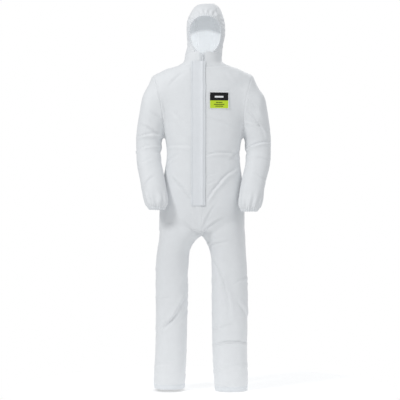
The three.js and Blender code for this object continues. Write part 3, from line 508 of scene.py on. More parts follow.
def folds(p, n, f, arm):
    """How far the cloth stands off its smooth shape, in millimetres."""
    x, y, h = p.T
    side = np.where(x < 0, -1.0, 1.0)
    warp = np.stack([noise(p / 55, 11), noise(p / 55, 12), noise(p / 55, 13)], axis=1)
    q = p + 5 * warp
    facing = n[:, 1]
    front = ease(0.35, -0.35, facing)
    back = 1 - front
    leg = (~arm & (h < 735)).astype(float)
    trunk = (~arm & (h > 650) & (h < 1500)).astype(float) * ease(1500, 1470, h)
    leg = np.maximum(leg, ~arm & (h < 760))
    arm_f = arm.astype(float)
    d = np.zeros(len(p))

    # Broad slack, longer along the limbs than across them.
    d += 3.6 * noise(q / (95, 95, 300), 21) + 1.3 * noise(q / (45, 45, 150), 22) * (1 - 0.4 * trunk * front)
    d += 0.6 * noise(q / (26, 26, 80), 23)
    d += 0.12 * noise(q / 11, 24) + 0.2 * noise(q / (16, 16, 28), 25)

    # The creases that the front shows.
    masks = {"trunk": trunk * front, "leg": leg * front, "arm": arm_f * front}
    for start, end, width, depth, ridge, where in FRONT_CREASES:
        crease(d, q[:, 0], q[:, 2], start, end, width, depth, ridge, masks[where])

    # Others of the same kind on the back, at the joints and where the cloth turns.
    masks = {"trunk": trunk * back, "leg": leg * back, "arm": arm_f * back}
    spots = []
    for s in (-1, 1):
        for count, across, up, lengths, turns, depth, where in HIDDEN_CREASES:
            mirror = s if where == "trunk" else 1
            for _ in range(count):
                spots.append((s * rng.uniform(*across), rng.uniform(*up), rng.uniform(*lengths),
                              mirror * rng.uniform(*turns), depth, where))
    for cx, ch, length, turn, depth, where in spots:
        half = length / 2 * np.array([math.cos(math.radians(turn)), math.sin(math.radians(turn))])
        middle = np.array([cx, ch])
        crease(d, q[:, 0], q[:, 2], middle - half, middle + half, rng.uniform(7, 12),
               depth * rng.uniform(0.6, 1.2), rng.choice([-1, 1]), masks[where])

    # Folds that run round the inside of each elbow and the back of each knee, and meet the seams.
    out = side * n[:, 0]
    bend = arm_f * ease(0.5, -0.7, out)
    d += bend * 2.4 * np.sin(q[:, 2] / 8.5 + 2 * noise(q / 70, 31)) * np.exp(-((h - 1128) / 62) ** 2)
    d += leg * back * 1.4 * np.sin(q[:, 2] / 11 + 2 * noise(q / 80, 32)) * np.exp(-((h - 487) / 60) ** 2)
    d += leg * 0.45 * np.sin(q[:, 2] / 8.5 + 3 * noise(q / 70, 33)) * np.exp(-((h - 75) / 45) ** 2)

    # Gathers of the waist elastic over the back, and above and below it.
    around = np.where(y > 0, x + 0.35 * side * (110 - y), 0)
    off = np.abs(h - WAIST)
    reach = ease(-5, 35, y) * (~arm)
    tight = np.exp(-(off / 9) ** 2)
    d += reach * (-5.5 * np.exp(-(off / 20) ** 2))
    d += reach * 1.5 * tight * np.sin(2 * math.pi * around / 11 + 1.3 * noise(q / 40, 41))
    loose = np.sin(2 * math.pi * around / 25 + 2.4 * noise(q / (50, 50, 160), 42))
    d += reach * 2.4 * np.exp(-(off / 34) ** 2) * (1 - tight) * loose

    # Gathers into the cuffs.
    for s in (-1, 1):
        mine = arm & (side == s) & (f["cuff"] < 120)
        row = between(ARMS[s], h[mine])
        turn = np.arctan2(y[mine] - (row[:, 3] + row[:, 4]) / 2, x[mine] - row[:, 1])
        up = f["cuff"][mine]
        wave = np.sin(26 * turn + 1.2 * noise(q[mine] / 30, 51))
        broad = np.sin(11 * turn + 1.6 * noise(q[mine] / 30, 52) + 2)
        d[mine] += 1.5 * wave * ease(34, 12, up) + 2.6 * broad * ease(6, 26, up) * ease(112, 40, up)
        d[mine] += -1.2 * ease(18, 13, up) * ease(8, 13, up)

    # Gathers along the face hem.
    hood = (f["hood"] > -5).astype(float)
    arc = np.arctan2(x - HEAD_X, h - 1660) * 78
    edge = f["face_edge"]
    fine = np.sin(2 * math.pi * arc / 8.5 + 1.5 * noise(q / 25, 61))
    d += np.where(edge < 60, 1.3 * fine * ease(15, 8, edge) * ease(-12, 0, edge), 0)
    wide_wave = np.sin(2 * math.pi * arc / 21 + 2 * noise(q / 30, 62))
    d += np.where(edge < 90, 1.9 * wide_wave * ease(8, 18, edge) * ease(52, 20, edge), 0)
    d += np.where(np.abs(edge - 10) < 8, -1.3 * np.exp(-((edge - 10) / 2.2) ** 2), 0)

    # Seams: a sunk line with the turned cloth standing beside it, and small puckers.
    near_arm = np.minimum(np.abs(f["right_arm"]), np.abs(f["left_arm"]))
    lines = [
        (np.abs(f["side"]), (~arm & (h < 1470)).astype(float)),
        (near_arm, (h > ARMPIT - 6) * (1.0 + 0.9 * (x < 0))),
        (np.abs(f["middle"]),
         (~arm & (h > 690) & (h < NECK + 15) & ((y > 0) | (h < ZIP_FOOT_H - 6))).astype(float)),
        (np.abs(f["hood"]), np.ones(len(p))), (np.abs(f["collar"]), (~arm).astype(float)),
        (np.abs(f["crown"]), 1.7 * hood * (edge > 8)),
        (np.abs(f["hem_band"]), (h < 60).astype(float)),
    ]
    pucker = 1 + 0.8 * noise(p / 7.5, 71)
    for gap, mask in lines:
        d += mask * (-1.25 * np.exp(-(gap / 2.4) ** 2) * pucker + 0.6 * np.exp(-((gap - 5.5) / 3) ** 2))
        d += mask * 0.8 * np.exp(-(gap / 16) ** 2) * noise(p / 17, 72)

    # The cloth lies flat under the zip, the flap and the label.
    flat = ease(30, 17, np.abs(x + 4)) * front * (h > ZIP_FOOT_H - 12) * (h < ZIP_HEAD_H)
    flat = np.maximum(flat, front * (h > 850) * (h < 1530) * ease(-60, -52, x) * ease(-38, -44, x))
    label = ease(63, 49, np.abs(x - 76)) * ease(58, 44, np.abs(h - 1343)) * front
    d = d * (1 - 0.92 * flat) - 0.5 * flat
    d = d * (1 - label) - 0.6 * label
    slot_edge = f["slot"]
    puffed = np.exp(-((slot_edge - 1.5) / 3) ** 2) * (0.9 + 0.9 * noise(p / 9, 73))
    d += front * (h > ZIP_FOOT_H) * (h < 1540) * puffed
    return d


lift = folds(rest, rest_normals, fields, is_arm)
posed = rest + rest_normals * lift[:, None]
posed_normals = normals_of(posed, triangles)

# ---------------------------------------------------------------- cutting the skin into panels

CUTS = ["hem", "cuff", "face", "face_band", "hood", "collar", "side", "middle", "right_arm", "left_arm",
        "cuff_band", "sleeve", "inseam", "shin", "hem_band", "crown", "slot", "zip_foot"]
fields["face_band"] = fields["face"] - FACE_BAND
fields["zip_foot"] = rest[:, 2] - ZIP_FOOT_H
data = np.concatenate([rest, posed, posed_normals] + [fields[c][:, None] for c in CUTS], axis=1)
FIELD = {name: 9 + i for i, name in enumerate(CUTS)}


def cut(data, tri, column):
    """Divides every triangle that the field in this column changes sign in."""
    v = data[:, column]
    v[np.abs(v) < 0.04] = 0
    sign = np.sign(v)
    s = sign[tri]
    cross = np.stack([s[:, k] * s[:, (k + 1) % 3] < 0 for k in range(3)], axis=1)
    hit = cross.any(axis=1)
    keep, work, cross, s = tri[~hit], tri[hit], cross[hit], s[hit]
    if not len(work):
        return data, tri
    ends = np.stack([work[:, [0, 1]], work[:, [1, 2]], work[:, [2, 0]]], axis=1)
    pairs = np.sort(ends[cross], axis=1)
    key = pairs[:, 0] * len(data) + pairs[:, 1]
    _, first, where = np.unique(key, return_index=True, return_inverse=True)
    a, b = pairs[first].T
    t = (v[a] / (v[a] - v[b]))[:, None]
    added = data[a] * (1 - t) + data[b] * t
    added[:, column] = 0
    added[:, 6:9] /= np.maximum(np.linalg.norm(added[:, 6:9], axis=1), 1e-9)[:, None]
    new = np.full(cross.shape, -1)
    new[cross] = len(data) + where.ravel()
    data = np.concatenate([data, added])
    out = [keep]
    two = cross.sum(axis=1) == 2
    for k in range(3):
        # The corner alone on its side lies between the two cut edges k and k - 1.
        pick = two & cross[:, k] & cross[:, k - 1]
        a, b, c = (work[pick, (k + j) % 3] for j in range(3))
        ab, ca = new[pick, k], new[pick, k - 1]
        out += [np.stack([a, ab, ca], 1), np.stack([ab, b, c], 1), np.stack([ab, c, ca], 1)]
        pick = ~two & cross[:, k]
        a, b, c = (work[pick, (k + j) % 3] for j in range(3))
        m = new[pick, k]
        out += [np.stack([a, m, c], 1), np.stack([m, b, c], 1)]
    return data, np.concatenate(out)


for name in CUTS:
    data, triangles = cut(data, triangles, FIELD[name])
middle_of = data[triangles].mean(axis=1)
val = {name: middle_of[:, FIELD[name]] for name in CUTS}
mx, my, mh = middle_of[:, :3].T
arm_side = {"right": val["right_arm"] > 0, "left": val["left_arm"] > 0}
in_arm = arm_side["right"] | arm_side["left"]
gone = (~in_arm & (val["hem"] < 0)) | (in_arm & (val["cuff"] < 0))
gone |= (val["face"] < 0) & (val["hood"] > 0)
hood_part = (val["hood"] > 0) & ~gone & ~in_arm
collar_part = (val["hood"] <= 0) & (val["collar"] > 0) & ~gone & ~in_arm
trunk_part = (val["collar"] <= 0) & (val["inseam"] > 0) & ~gone & ~in_arm
leg_part = (val["inseam"] <= 0) & ~gone & ~in_arm
slot = (val["slot"] < 0) & (my < 0) & (val["zip_foot"] > 0) & ~hood_part
panels = {}
rim_face = hood_part & (val["face_band"] < 0)
panels["hood_face_elastic"] = rim_face
panels["hood_centre_panel"] = hood_part & ~rim_face & (val["crown"] < 0)
for side, sgn in (("right", -1), ("left", 1)):
    mine = np.sign(val["middle"]) == sgn
    panels[side + "_hood_side"] = hood_part & ~rim_face & (val["crown"] >= 0) & (sgn * (mx - HEAD_X) > 0)
    for level, faces in (("front", my < SIDE_Y), ("back", my >= SIDE_Y)):
        panels[f"{side}_body_{level}"] = trunk_part & mine & faces & ~slot
        panels[f"{side}_collar_{level}"] = collar_part & (sgn * mx > 0) & faces & ~slot
        panels[f"{side}_thigh_{level}"] = leg_part & mine & faces & (val["shin"] > 0)
        panels[f"{side}_shin_{level}"] = leg_part & mine & faces & (val["shin"] <= 0) & (val["hem_band"] > 0)
    panels[side + "_leg_hem"] = leg_part & mine & (val["hem_band"] <= 0)
    sleeve = arm_side[side] & ~gone
    panels[side + "_upper_sleeve"] = sleeve & (val["sleeve"] > 0)
    panels[side + "_lower_sleeve"] = sleeve & (val["sleeve"] <= 0) & (val["cuff_band"] > 0)
    panels[side + "_cuff_elastic"] = sleeve & (val["cuff_band"] <= 0)

# ---------------------------------------------------------------- materials


def principled(name, colour, rough, sheen=0.0, sheen_rough=0.5, coat=0.0):
    m = bpy.data.materials.new(name)
    m.use_nodes = True
    t = m.node_tree
    b = t.nodes["Principled BSDF"]
    b.inputs["Base Color"].default_value = (*colour, 1)
    b.inputs["Roughness"].default_value = rough
    b.inputs["Sheen Weight"].default_value = sheen
    b.inputs["Sheen Roughness"].default_value = sheen_rough
    b.inputs["Coat Weight"].default_value = coat
    return m, t, b


def node(t, kind, **settings):
    n = t.nodes.new(kind)
    for key, value in settings.items():
        if hasattr(n, key):
            setattr(n, key, value)
        else:
            n.inputs[key.replace("_", " ")].default_value = value
    return n


def place(t, attribute=True):
    """Where a surface point was before any pose."""
    if attribute:
        n = node(t, "ShaderNodeAttribute", attribute_name="rest_place")
        return n.outputs["Vector"]
    return node(t, "ShaderNodeTexCoord").outputs["Object"]


def blend_colour(t, factor, low, high):
    n = node(t, "ShaderNodeMix", data_type="RGBA")
    n.inputs[6].default_value = (*low, 1)
    n.inputs[7].default_value = (*high, 1)
    t.links.new(factor, n.inputs[0])
    return n.outputs[2]


def raise_grain(t, b, height, strength, distance):
    """Turns a texture's output into fine relief."""
    bump = node(t, "ShaderNodeBump", Strength=strength, Distance=distance)
    t.links.new(height, bump.inputs["Height"])
    t.links.new(bump.outputs["Normal"], b.inputs["Normal"])


def nonwoven(name, colour, attribute=True, emboss=1.0, rough=0.62):
    """Spunbonded cloth: fine matted fibres, faint clouds of denser fibre, and tiny bond points."""
    m, t, b = principled(name, colour, rough, sheen=0.18, sheen_rough=0.45)
    at = place(t, attribute)
    cloud = node(t, "ShaderNodeTexNoise", Scale=28.0, Detail=5.0, Roughness=0.6)
    fibre = node(t, "ShaderNodeTexNoise", Scale=620.0, Detail=3.0, Roughness=0.7, Distortion=1.4)
    bonds = node(t, "ShaderNodeTexVoronoi", Scale=520.0, Randomness=0.25)
    crinkle = node(t, "ShaderNodeTexNoise", Scale=95.0, Detail=4.0, Roughness=0.55, Distortion=0.6)
    for n in (cloud, fibre, bonds, crinkle):
        t.links.new(at, n.inputs["Vector"])
    shade = [c * 0.985 for c in colour]
    light = [min(c * 1.01, 1) for c in colour]
    ramp = node(t, "ShaderNodeMapRange", From_Min=0.34, From_Max=0.66)
    t.links.new(cloud.outputs["Fac"], ramp.inputs["Value"])
    t.links.new(blend_colour(t, ramp.outputs["Result"], shade, light), b.inputs["Base Color"])
    rough_map = node(t, "ShaderNodeMapRange", From_Min=0.3, From_Max=0.7,
                     To_Min=rough - 0.07, To_Max=rough + 0.1)
    t.links.new(fibre.outputs["Fac"], rough_map.inputs["Value"])
    t.links.new(rough_map.outputs["Result"], b.inputs["Roughness"])
    bump_crinkle = node(t, "ShaderNodeBump", Strength=0.3, Distance=0.0012)
    bump_fibre = node(t, "ShaderNodeBump", Strength=0.35 * emboss, Distance=0.0003)
    bump_bonds = node(t, "ShaderNodeBump", Strength=0.3 * emboss, Distance=0.0003)
    t.links.new(crinkle.outputs["Fac"], bump_crinkle.inputs["Height"])
    t.links.new(fibre.outputs["Fac"], bump_fibre.inputs["Height"])
    t.links.new(bonds.outputs["Distance"], bump_bonds.inputs["Height"])
    t.links.new(bump_crinkle.outputs["Normal"], bump_fibre.inputs["Normal"])
    t.links.new(bump_fibre.outputs["Normal"], bump_bonds.inputs["Normal"])
    t.links.new(bump_bonds.outputs["Normal"], b.inputs["Normal"])
    return m


WHITE = (0.80, 0.815, 0.83)
cloth = nonwoven("nonwoven_cloth", WHITE)
hem_cloth = nonwoven("nonwoven_hem", (0.78, 0.805, 0.83), emboss=1.3, rough=0.68)
elastic_cloth = nonwoven("nonwoven_gathered", (0.79, 0.81, 0.83), emboss=1.2, rough=0.7)

# The inside of the hood and collar, with painted light: an emission glow stands for the light that comes
# through the thin cloth from behind, and is dimmed to painted shade near the top of the hood.
glowing_lining = nonwoven("nonwoven_lining_painted_glow", WHITE)
t = glowing_lining.node_tree
b = t.nodes["Principled BSDF"]
axes = node(t, "ShaderNodeSeparateXYZ")
t.links.new(place(t), axes.inputs[0])
off = node(t, "ShaderNodeMath", operation="SUBTRACT")
off.inputs[1].default_value = HEAD_X / 1000
t.links.new(axes.outputs["X"], off.inputs[0])
square = node(t, "ShaderNodeMath", operation="MULTIPLY")
t.links.new(off.outputs[0], square.inputs[0])
t.links.new(off.outputs[0], square.inputs[1])
arch = node(t, "ShaderNodeMath", operation="MULTIPLY_ADD")
arch.inputs[1].default_value = 5.0
t.links.new(square.outputs[0], arch.inputs[0])
t.links.new(axes.outputs["Z"], arch.inputs[2])
# Painted shade: the glow falls from 0.36 to 0.11 across an arch at 1680 to 1698 mm in the middle of the hood,
# lower towards its sides, leaving a darker crescent inside the top.
painted_glow_strength = node(t, "ShaderNodeMapRange", From_Min=0.168, From_Max=0.186, To_Min=0.36, To_Max=0.11)
painted_glow_strength.interpolation_type = "SMOOTHSTEP"
t.links.new(arch.outputs[0], painted_glow_strength.inputs["Value"])
t.links.new(painted_glow_strength.outputs["Result"], b.inputs["Emission Strength"])
b.inputs["Emission Color"].default_value = (0.95, 0.98, 1.0, 1)

# ---------------------------------------------------------------- pieces


def make_object(name, points, faces, materials, smooth=True):
    mesh = bpy.data.meshes.new(name)
    mesh.from_pydata(points.tolist(), [], faces.tolist() if hasattr(faces, "tolist") else faces)
    for m in materials:
        mesh.materials.append(m)
    if smooth:
        mesh.polygons.foreach_set("use_smooth", np.ones(len(mesh.polygons), bool))
    o = bpy.data.objects.new(name, mesh)
    bpy.context.scene.collection.objects.link(o)
    return o


def rest_attribute(mesh, where):
    a = mesh.attributes.new("rest_place", "FLOAT_VECTOR", "POINT")
    a.data.foreach_set("vector", where.astype(np.float32).ravel())


def attach(piece, node_name, body):
    """Puts a piece in the place of a CAD node, on one body."""
    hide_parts(node_name)
    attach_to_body(piece, body)


def shell(name, outer, normal, tri, material, thickness, where, inside=None):
    """A sheet of cloth with two faces and closed edges. outer is in millimetres and heights."""
    n = len(outer)
    e = np.concatenate([tri[:, [0, 1]], tri[:, [1, 2]], tri[:, [2, 0]]])
    key = np.sort(e, axis=1)
    key = key[:, 0] * n + key[:, 1]
    _, first, count = np.unique(key, return_index=True, return_counts=True)
    rim = e[first[count == 1]]
    inner = outer - normal * thickness
    a, b = rim.T
    rim = [np.stack([b, a, a + n], 1), np.stack([b, a + n, b + n], 1)]
    faces = np.concatenate([tri, tri[:, ::-1] + n] + rim)
    points = row_frame(np.concatenate([outer, inner]))
    o = make_object(name, points, faces, [material, inside] if inside else [material])
    if inside:
        slots = np.zeros(len(faces), np.int32)
        slots[len(tri):2 * len(tri)] = 1
        o.data.polygons.foreach_set("material_index", slots)
    at = points[faces]
    flat = np.cross(at[:, 1] - at[:, 0], at[:, 2] - at[:, 0])
    flat /= np.maximum(np.linalg.norm(flat, axis=1), 1e-15)[:, None]
    rim_normals = np.repeat(flat[2 * len(tri):, None], 3, axis=1)
    loops = np.concatenate([normal[tri], -normal[tri[:, ::-1]], rim_normals])
    o.data.normals_split_custom_set(loops.reshape(-1, 3).astype(np.float32))
    rest_attribute(o.data, row_frame(np.concatenate([where, where])))
    return o


def area_of(points, tri):
    a, b, c = points[tri[:, 0]], points[tri[:, 1]], points[tri[:, 2]]
    return np.linalg.norm(np.cross(b - a, c - a), axis=1).sum() / 2


def at(x, y, h):
    return tuple(row_frame((x, y, h)))


pieces = {}
for name, mask in panels.items():
    tri = triangles[mask]
    used, tri = np.unique(tri, return_inverse=True)
    tri = tri.reshape(-1, 3)
    piece_data = data[used]
    kind = "cloth"
    material, thick = cloth, CLOTH
    if "elastic" in name:
        kind, material, thick = "elastic", elastic_cloth, 2.2
    if "hem" in name:
        kind, material, thick = "hem_cloth", hem_cloth, 1.6
    # The inner faces of the hood panels and collar backs get the glowing lining, with its painted glow and
    # painted shade.
    lined = name in ("hood_centre_panel", "left_hood_side", "right_hood_side") or "collar_back" in name
    inside = glowing_lining if lined else None
    smooth_shape, folded, folded_normals = piece_data[:, :3], piece_data[:, 3:6], piece_data[:, 6:9]
    o = shell(name + "_cloth", folded, folded_normals, tri, material, thick, smooth_shape, inside)
    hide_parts(name)
    pieces[name] = (o, piece_data, tri)
    side = "left" if name.startswith("left") else "right"
    s = 1 if side == "left" else -1
    if "hood" in name:
        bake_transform(o)
    elif "upper_sleeve" in name:
        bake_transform(o)
    elif "lower_sleeve" in name:
        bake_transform(o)
    elif "cuff" in name:
        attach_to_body(o, side + "_forearm")
    elif "thigh" in name:
        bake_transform(o)
    elif "shin" in name:
        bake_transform(o)
    elif "leg_hem" in name:
        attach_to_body(o, side + "_shin")
    else:
        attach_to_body(o, "torso")

# ---------------------------------------------------------------- zip, flap and labels

LEAN = math.atan((ZIP_HEAD_Y - ZIP_FOOT_Y) / (ZIP_HEAD_H - ZIP_FOOT_H))
ZIP_LENGTH = math.hypot(ZIP_HEAD_Y - ZIP_FOOT_Y, ZIP_HEAD_H - ZIP_FOOT_H)
FLAP_LOW, FLAP_HIGH = -8.0, ZIP_LENGTH - 14 - 2 - 6 - 20 - 6
COIL_LOW, COIL_HIGH = 6.6, ZIP_LENGTH - 14


def on_zip(p):
    """From places on the zip (across, out of the cloth, along) to millimetres and heights."""
    x, y, z = np.asarray(p, float).T
    c, s = math.cos(LEAN), math.sin(LEAN)
    return np.stack([x, ZIP_FOOT_Y + y * c + z * s, ZIP_FOOT_H - y * s + z * c], axis=1)


def grid_faces(rows, columns, closed=False):
    r, c = np.meshgrid(np.arange(rows - 1), np.arange(columns if closed else columns - 1), indexing="ij")
    a = (r * columns + c).ravel()
    b = (r * columns + (c + 1) % columns).ravel()
    return np.concatenate([np.stack([a, b, b + columns], 1), np.stack([a, b + columns, a + columns], 1)])


def sheet_grid(name, points, rows, columns, material, thickness, outward):
    """A thin sheet through a grid of points, its face turned to the side that outward points to."""
    tri = grid_faces(rows, columns)
    n = normals_of(points, tri)
    if (n @ outward).mean() < 0:
        tri, n = tri[:, ::-1], -n
    return shell(name, points, n, tri, material, thickness, points), area_of(points, tri) / 1e6


FLAP_EDGE = 13.5
FLAP_CURVE = [(-44, -0.5), (-34, -0.8), (-14, -1.1), (-7, -2.5), (-3.5, -4.4), (0, -5.6),
              (3.5, -4.3), (6.5, -2.4), (10, -1.5), (FLAP_EDGE, -1.1)]
columns, rows = 48, 300
across = np.linspace(0, 1, columns)
curve_x = -44 + (FLAP_EDGE + 44) * across
table = [(x, y) for x, y in FLAP_CURVE]
curve_y = between(table, curve_x)[:, 1]
along = np.linspace(FLAP_LOW, FLAP_HIGH, rows)
zz, xx = np.meshgrid(along, curve_x, indexing="ij")
yy = np.broadcast_to(curve_y, zz.shape)
p = np.stack([xx.ravel(), yy.ravel(), zz.ravel()], axis=1)
free = ease(-30, FLAP_EDGE, p[:, 0])
glue_line = p.copy()
p[:, 1] += -0.7 - free * (0.5 + 0.5 * noise(p / (40, 40, 34), 81) + 0.25 * noise(p / (12, 12, 15), 82))
p[:, 1] += 0.3 * noise(p / (9, 9, 22), 83) - 0.4 * ease(-42, -36, p[:, 0]) * (1 + noise(p / (30, 30, 60), 86))
p[:, 0] += free * 0.9 * noise(p / (60, 60, 45), 84)
rows_flap, columns_flap = rows, columns
flap_cloth = nonwoven("nonwoven_flap", (0.79, 0.81, 0.835), emboss=1.1, rough=0.62)
flap, area = sheet_grid("storm_flap_cloth", on_zip(p), rows, columns, flap_cloth, 0.8, (0, -1, 0))
attach(flap, "storm_flap", "flap")


def tubes_along(path, radius, sides, up):
    """A round bar along a path of points."""
    tangent = np.gradient(path, axis=0)
    tangent /= np.linalg.norm(tangent, axis=1)[:, None]
    side = np.cross(tangent, np.asarray(up, float))
    side /= np.maximum(np.linalg.norm(side, axis=1), 1e-9)[:, None]
    other = np.cross(side, tangent)
    turn = 2 * math.pi * np.arange(sides) / sides
    cosine, sine = np.cos(turn)[None, :, None], np.sin(turn)[None, :, None]
    rings = path[:, None] + radius * (side[:, None] * cosine + other[:, None] * sine)
    points = rings.reshape(-1, 3)
    faces = grid_faces(len(path), sides, closed=True).tolist()
    faces.append(list(range(sides))[::-1])
    faces.append(list(range((len(path) - 1) * sides, len(path) * sides)))
    return points, faces


def join(parts):
    points, faces, base = [], [], 0
    for p, f in parts:
        points.append(p)
        faces += [[v + base for v in face] for face in f]
        base += len(p)
    return np.concatenate(points), faces


# The folded seam that the flap turns on: a soft ridge with a row of stitches along it.
columns, rows = 11, 300
u = np.linspace(-1, 1, columns)
zz, uu = np.meshgrid(along, u, indexing="ij")
p = np.stack([-47.9 + 3.9 * uu.ravel(), -0.3 - 1.0 * np.sqrt(1 - 0.96 * uu.ravel() ** 2), zz.ravel()], axis=1)
p[:, 1] += 0.35 * noise(p / (6, 6, 9), 85) * (1 - uu.ravel() ** 2)
seam_sheet = on_zip(p)
tri = grid_faces(rows, columns)
n = normals_of(seam_sheet, tri)
if n[:, 1].mean() > 0:
    tri, n = tri[:, ::-1], -n
stitch_parts = []
for k, z in enumerate(np.arange(FLAP_LOW + 3, FLAP_HIGH - 5, 4.6)):
    path = np.stack([np.full(5, -47.9), [-1.0, -1.5, -1.65, -1.5, -1.0], z + np.linspace(0, 3.0, 5)], axis=1)
    stitch_parts.append(tubes_along(on_zip(path), 0.32, 5, (1, 0, 0)))
thread = principled("thread_white", (0.84, 0.85, 0.86), 0.5, sheen=0.3)
t, b = thread[1], thread[2]
twist = node(t, "ShaderNodeTexWave", Scale=900.0, Distortion=2.0)
t.links.new(node(t, "ShaderNodeTexCoord").outputs["Object"], twist.inputs["Vector"])
raise_grain(t, b, twist.outputs["Fac"], 0.4, 0.0002)
seam = shell("flap_seam_cloth", seam_sheet, n, tri, hem_cloth, 1.2, seam_sheet)
attach(seam, "flap_seam", "torso")
points, faces = join(stitch_parts)
stitches = make_object("flap_seam_stitches", row_frame(points), faces, [thread[0]])
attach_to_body(stitches, "torso")

# Zip coils are one filament wound round and round, flattened into teeth.
plastic, t, b = principled("zip_white_plastic", (0.78, 0.8, 0.82), 0.34, coat=0.15)
grain = node(t, "ShaderNodeTexNoise", Scale=900.0, Detail=2.0)
t.links.new(node(t, "ShaderNodeTexCoord").outputs["Object"], grain.inputs["Vector"])
spread = node(t, "ShaderNodeMapRange", From_Min=0.3, From_Max=0.7, To_Min=0.28, To_Max=0.46)
t.links.new(grain.outputs["Fac"], spread.inputs["Value"])
t.links.new(spread.outputs["Result"], b.inputs["Roughness"])
raise_grain(t, b, grain.outputs["Fac"], 0.15, 0.0002)
for side, s in (("right", -1), ("left", 1)):
    pitch, per_turn = 1.75, 8
    turns = (COIL_HIGH - COIL_LOW - 1.0) / pitch
    k = np.arange(int(turns * per_turn))
    a = 2 * math.pi * k / per_turn + (0 if s < 0 else math.pi)
    rise = COIL_LOW + 0.5 + k * pitch / per_turn
    path = np.stack([s * 2.15 + 1.0 * np.cos(a), 1.2 + 0.72 * np.sin(a), rise], axis=1)
    points, faces = tubes_along(on_zip(path), 0.36, 5, (0, 0, 1))
    coil = make_object(side + "_zip_coil_filament", row_frame(points), faces, [plastic])
    attach(coil, side + "_zip_coil", "torso")

# The zip tapes get a fine twill.
tape, t, b = principled("zip_tape_twill", (0.79, 0.81, 0.83), 0.78, sheen=0.35)
where = node(t, "ShaderNodeTexCoord").outputs["Object"]
wave = node(t, "ShaderNodeTexWave", bands_direction="DIAGONAL", Scale=330.0, Distortion=0.6)
cross = node(t, "ShaderNodeTexWave", bands_direction="Z", Scale=420.0, Distortion=0.3)
for n in (wave, cross):
    t.links.new(where, n.inputs["Vector"])
both = node(t, "ShaderNodeMath", operation="MULTIPLY")
t.links.new(wave.outputs["Fac"], both.inputs[0])
t.links.new(cross.outputs["Fac"], both.inputs[1])
raise_grain(t, b, both.outputs[0], 0.5, 0.0003)
t.links.new(blend_colour(t, both.outputs[0], (0.72, 0.74, 0.76), (0.82, 0.84, 0.86)), b.inputs["Base Color"])

glue, t, b = principled("flap_adhesive_film", (0.76, 0.77, 0.7), 0.28, coat=0.3)
ripple = node(t, "ShaderNodeTexNoise", Scale=160.0, Detail=3.0)
t.links.new(node(t, "ShaderNodeTexCoord").outputs["Object"], ripple.inputs["Vector"])
raise_grain(t, b, ripple.outputs["Fac"], 0.2, 0.0005)
streaks = blend_colour(t, ripple.outputs["Fac"], (0.72, 0.73, 0.66), (0.8, 0.81, 0.75))
t.links.new(streaks, b.inputs["Base Color"])

band_look = nonwoven("elastic_band", (0.8, 0.81, 0.8), attribute=False, emboss=1.4, rough=0.8)
size_look = nonwoven("size_label_satin", (0.82, 0.83, 0.84), attribute=False, emboss=0.5, rough=0.42)
strip = (glue_line.reshape(rows_flap, columns_flap, 3)[8:-8, 38:47]).reshape(-1, 3) + (0, -0.35, 0)
adhesive, area = sheet_grid("flap_adhesive_strip", on_zip(strip), rows_flap - 16, 9, glue, 0.3, (0, -1, 0))
attach(adhesive, "flap_adhesive", "flap")

# Woven tapes beside the coils, a gathered elastic inside the back waist and a small size label at the nape.
TAPE_COLUMNS, TAPE_ROWS = 12, 260
for side, s in (("right", -1), ("left", 1)):
    along_tape = np.linspace(COIL_LOW - 4, COIL_HIGH + 6, TAPE_ROWS)
    over_tape = np.linspace(3.5, 14.6, TAPE_COLUMNS)
    zz, xx = np.meshgrid(along_tape, over_tape, indexing="ij")
    p = np.stack([s * xx.ravel(), 1.2 + 0 * xx.ravel(), zz.ravel()], axis=1)
    p[:, 1] += 0.16 * noise(p / (7, 7, 18), 92 + s)
    name = side + "_zip_tape_woven"
    cloth_tape, area = sheet_grid(name, on_zip(p), TAPE_ROWS, TAPE_COLUMNS, tape, 0.6, (0, -1, 0))
    attach(cloth_tape, side + "_zip_tape", "torso")


def back_depth(x, h):
    _, cx, half, front, back, power = between(BODY, h)[0]
    share = np.minimum(np.abs((x - cx) / half), 1) ** power
    return (front + back) / 2 + (back - front) / 2 * (1 - share) ** (1 / power)


BAND_TURNS, BAND_ROWS = 420, 7
band_points = []
for h in np.linspace(WAIST - 5, WAIST + 5, BAND_ROWS):
    row = between(BODY, h)[0]
    px, py = section(row, np.linspace(0.12, math.pi - 0.12, BAND_TURNS))
    line = np.stack([px, py], axis=1)
    along_band = np.gradient(line, axis=0)
    along_band /= np.linalg.norm(along_band, axis=1)[:, None]
    run = np.concatenate([[0], np.cumsum(np.linalg.norm(np.diff(line, axis=0), axis=1))])
    inward = np.stack([-along_band[:, 1], along_band[:, 0]], axis=1)
    line += inward * (9.5 + 0.9 * np.sin(2 * math.pi * run / 11))[:, None]
    band_points.append(np.c_[line, np.full(BAND_TURNS, h)])
band_points = np.concatenate(band_points)
band, area = sheet_grid("waist_elastic_band", band_points, BAND_ROWS, BAND_TURNS, band_look, 0.9, (0, 1, 0))
attach(band, "waist_elastic", "torso")

xx, hh = np.meshgrid(np.linspace(-23, 23, 24), np.linspace(NECK - 42, NECK - 12, 18))
tag_depth = [back_depth(a, b) - 4.2 for a, b in zip(xx.ravel(), hh.ravel())]
tag_points = np.stack([xx.ravel(), tag_depth, hh.ravel()], axis=1)
tag_points[:, 1] -= 0.3 * noise(tag_points / 14, 97) + 0.8 * ease(NECK - 24, NECK - 42, tag_points[:, 2])
tag, area = sheet_grid("size_label_satin", tag_points, 18, 24, size_look, 0.4, (0, -1, 0))
attach(tag, "size_label", "torso")
for name, look in (("zip_slider", plastic), ("zip_pull", plastic),
                   ("left_zip_top_stop", plastic), ("right_zip_top_stop", plastic),
                   ("zip_bottom_stop", plastic)):
    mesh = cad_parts[name].data
    mesh.materials.clear()
    mesh.materials.append(look)

